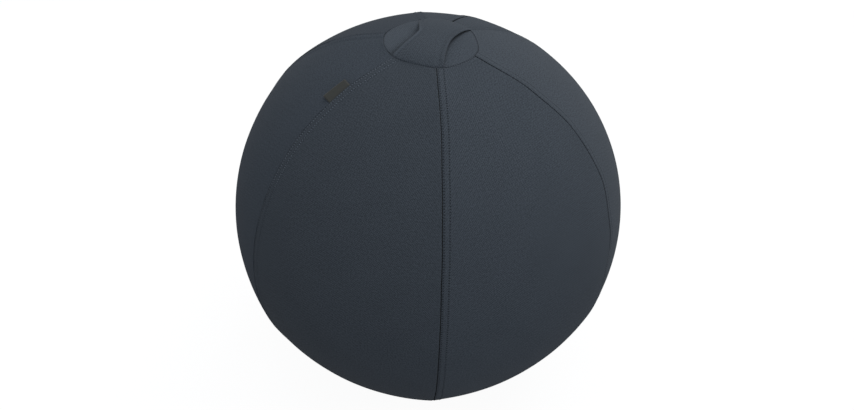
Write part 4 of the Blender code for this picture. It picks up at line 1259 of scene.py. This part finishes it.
work = bmesh.new()
work.from_mesh(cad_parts["bladder"].data)
bmesh.ops.remove_doubles(work, verts=work.verts, dist=1e-6)
long_edges = [edge for edge in work.edges if edge.calc_length() > 20 * MM]
bmesh.ops.subdivide_edges(work, edges=long_edges, cuts=4, use_grid_fill=True)
bmesh.ops.recalc_face_normals(work, faces=work.faces)
floor_of_bladder = min(v.co.z for v in work.verts)
for vertex in work.verts:
    away = vertex.co - CENTRE
    far_from_valve = (vertex.co - (CENTRE + VALVE * BLADDER_RADIUS)).length > 18 * MM
    in_wall = away.length > BLADDER_RADIUS - BLADDER_WALL - 1.0 * MM
    if in_wall and far_from_valve and vertex.co.z > floor_of_bladder + 4 * MM:
        vertex.co = CENTRE + away.normalized() * (away.length + moulded_ring(away.z))
VINYL = moulded_material(
    "bladder_vinyl", (0.19, 0.21, 0.23), (0.25, 0.27, 0.29), 0.45, 1.53,
    (9.0, 4.0), (700.0, 1.0), 0.1 * MM, 0.15,
)
bladder = piece_from(work, "bladder_ball", VINYL, radians(50))
VALVE_PLASTIC = moulded_material(
    "valve_plastic", (0.58, 0.58, 0.56), (0.66, 0.66, 0.64), 0.35, **HARD_PLASTIC
)
for node in ("valve_collar", "valve_plug"):
    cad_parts[node].material_slots[0].material = VALVE_PLASTIC
print("bladder:", len(bladder.data.polygons), "faces")

# %% Sand bag and its pocket
BAG_BOTTOM, BAG_TOP, POCKET_TURN, POCKET_ROUND = 3.0 * MM, 17.0 * MM, 4 * MM, 4.6 * MM


def cotton_material():
    material, tree = new_material("ballast_cotton", {"Roughness": 0.85, "Sheen Weight": 0.1, "IOR": 1.4})
    place = object_place(tree)
    across, along = ((way * (tau / (1.2 * MM))).sine() for way in place.parts()[:2])
    threads = across * along * 0.5 + 0.5
    share = threads * 0.3 + noise(tree, place, 40.0, 4.0) * 0.7
    tint = shades(tree, share, (0.25, 0.22, 0.17), (0.36, 0.33, 0.27))
    return dress(material, tint, threads, 0.2 * MM, 0.4)


def bag_rim(height):
    """Radius that keeps the bag inside the cover at a height."""
    inside = BALL_RADIUS - CLOTH - 4.5 * MM
    return sqrt(inside**2 - (CENTRE.z - height) ** 2)


bag_loops = []
for share in steps(0, 1, 20):
    swing = pi * share
    height = BAG_BOTTOM + (BAG_TOP - BAG_BOTTOM) * (0.5 + 0.5 * cos(swing))
    reach = bag_rim(height) * (1 - 0.97 * abs(cos(swing)) ** 5) - 1.0 * MM * (1 - sin(swing))
    bag_loops.append((max(2 * MM, reach), height))
bag = turned("sand_bag", cotton_material(), bag_loops, 72)
for vertex in bag.data.vertices:
    sag = soft_wave(*vertex.co, 120.0, 9) * 0.9 * MM
    level = (vertex.co.z - BAG_BOTTOM) / (BAG_TOP - BAG_BOTTOM)
    vertex.co.z -= max(0.0, sag) * level
LINING = cloth_material("pocket_lining", (0.022, 0.024, 0.028), rib=0.9 * MM, roughness=0.8)


def pocket_point(radius, turn):
    reach, top = radius, BAG_TOP + 0.7 * MM
    flat = bag_rim(BAG_TOP - POCKET_TURN) - POCKET_TURN
    if radius > flat:
        over = radius - flat
        reach = flat + min(over, POCKET_ROUND * (1 - exp(-over / POCKET_ROUND)))
        top -= over * 0.86
    fold = 0.35 * MM * sin(turn * 22) * clamp((radius - 0.05) / 0.05)
    return Vector((reach * sin(turn), -reach * cos(turn), max(BAG_BOTTOM + 0.4 * MM, top) - max(0.0, fold)))


pocket_radii = rings(bag_rim(BAG_TOP) + 11 * MM, 22 * MM, 14, 12)
pocket = round_sheet("lining_pocket", LINING, pocket_radii, 132, pocket_point)
thicken(pocket, 0.5 * MM)
print("sand bag and pocket:", len(bag.data.polygons), len(pocket.data.polygons), "faces")

# %% [markdown]
# The photograph shows the ball on plain white, lit by a broad soft light from above, behind and to the right.
# A pale floor carries the object's shadow. What the camera sees of floor and world is made white with the
# Light Path node, so that no extra light has to fall on the ball.

# %% Floor and world
FLOOR_REACH, FLOOR_WHITE, FLOOR_GLOW, WORLD_LIGHT = 9, 0.80, 1.18, 0.684


def seen_rays(tree):
    """1 for rays that end in the eye: straight ones, mirrored ones and those through something clear."""
    path = add_node(tree, "ShaderNodeLightPath")
    rays = [Flow(tree, path.outputs[f"Is {kind} Ray"]) for kind in ("Camera", "Glossy", "Transmission")]
    return rays[0].at_least(rays[1]).at_least(rays[2])


floor_corners = [(x * FLOOR_REACH, y * FLOOR_REACH, 0) for x, y in ((-1, -1), (1, -1), (1, 1), (-1, 1))]
floor_mesh = new_mesh("floor", floor_corners, faces=[(0, 1, 2, 3)])
floor_material = bpy.data.materials.new("pale_floor")
floor_material.use_nodes = True
tree = floor_material.node_tree
tree.nodes.remove(tree.nodes["Principled BSDF"])
seen = seen_rays(tree)
matt = flow(tree, "ShaderNodeBsdfDiffuse", {"Color": (0.34, 0.36, 0.39, 1)})
white = flow(tree, "ShaderNodeEmission", {"Color": (1, 1, 1, 1), "Strength": FLOOR_GLOW})
mixed = add_node(tree, "ShaderNodeMixShader")
for value, socket in zip((seen * FLOOR_WHITE, matt, white), mixed.inputs):
    plug(value, socket)
plug(Flow(tree, mixed.outputs[0]), tree.nodes["Material Output"].inputs["Surface"])
floor = add_piece("floor", floor_mesh, floor_material)

world = bpy.data.worlds.new("studio")
bpy.context.scene.world = world
world.use_nodes = True
tree = world.node_tree
seen = seen_rays(tree)
plug(seen * (1 - WORLD_LIGHT) + WORLD_LIGHT, tree.nodes["Background"].inputs["Strength"])
tree.nodes["Background"].inputs["Color"].default_value = (1, 1, 1, 1)
bpy.context.scene.view_settings.view_transform = "Standard"
print("floor and world ready")

# %% Lamps


def soft_box(name, azimuth, elevation, distance, width, height, power, colour=(1, 1, 1)):
    """A broad area lamp that faces the ball's centre."""
    data = bpy.data.lights.new(name, "AREA")
    data.shape, data.size, data.size_y = "RECTANGLE", width, height
    data.energy, data.color = power, colour
    aim(name, data, radians(azimuth), radians(elevation), distance)


soft_box("rear", 163, 48, 2.6, 2.2, 1.8, 29, (1.0, 0.96, 0.91))
soft_box("side", 60, 12, 2.6, 1.8, 1.8, 10.6)
soft_box("top", 25, 86, 2.6, 2.2, 2.2, 15.9)
print("lamps: a wide one behind at the right, a low one at the right and one overhead")

# %% [markdown]
# Last, the pieces are tied to the bodies they move with, most to the ball and the slider and pull to their
# own, and the solids they stand for are hidden. The strap, whose ends stay sewn to the rim while its middle
# lifts, and its hem stitches keep their places baked into their meshes.

# %% Tie the pieces to the frame
on_the_ball = {
    "cap": ("top_cap", "cover_cloth"), "tab": ("side_tab", "tab_ribbon"),
    "base_cloth": ("base_panel", "base_cloth"), "grip_sole": ("grip_pad", "grip_rubber"),
    "tape_left": ("zip_tape_left", "zip_tape"), "tape_right": ("zip_tape_right", "zip_tape"),
    "teeth_left": ("zip_teeth_left", "zip_teeth"), "teeth_right": ("zip_teeth_right", "zip_teeth"),
    "bladder_ball": ("bladder", "bladder_vinyl"), "sand_bag": ("ballast_bag", "ballast_fill"),
    "lining_pocket": ("ballast_pocket", "pocket_lining"),
}
on_the_ball.update({f"gore_{name}": (node, "cover_cloth") for name, node in CAD_PANEL.items()})
for name, (node, slot) in on_the_ball.items():
    piece = bpy.data.objects[name]
    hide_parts(node)
    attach(piece, "ball")
added = {
    dots: "grip_rubber", stitches: "cover_cloth",
    back_stitches: "cover_cloth", base_stitches: "base_cloth",
}
for piece, slot in added.items():
    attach(piece, "ball")
castings = ((slider, "zip_slider", "slider"), (pull, "zip_pull", "pull"))
for piece, node, body in castings:
    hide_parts(node)
    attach(piece, body)
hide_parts("carry_handle")
lifted = (strap, hem_stitches)
for piece in lifted:
    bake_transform(piece)
print("tied:", len(on_the_ball) + len(added) + len(castings) + len(lifted), "pieces")

# %% Finish
print("all pieces made")
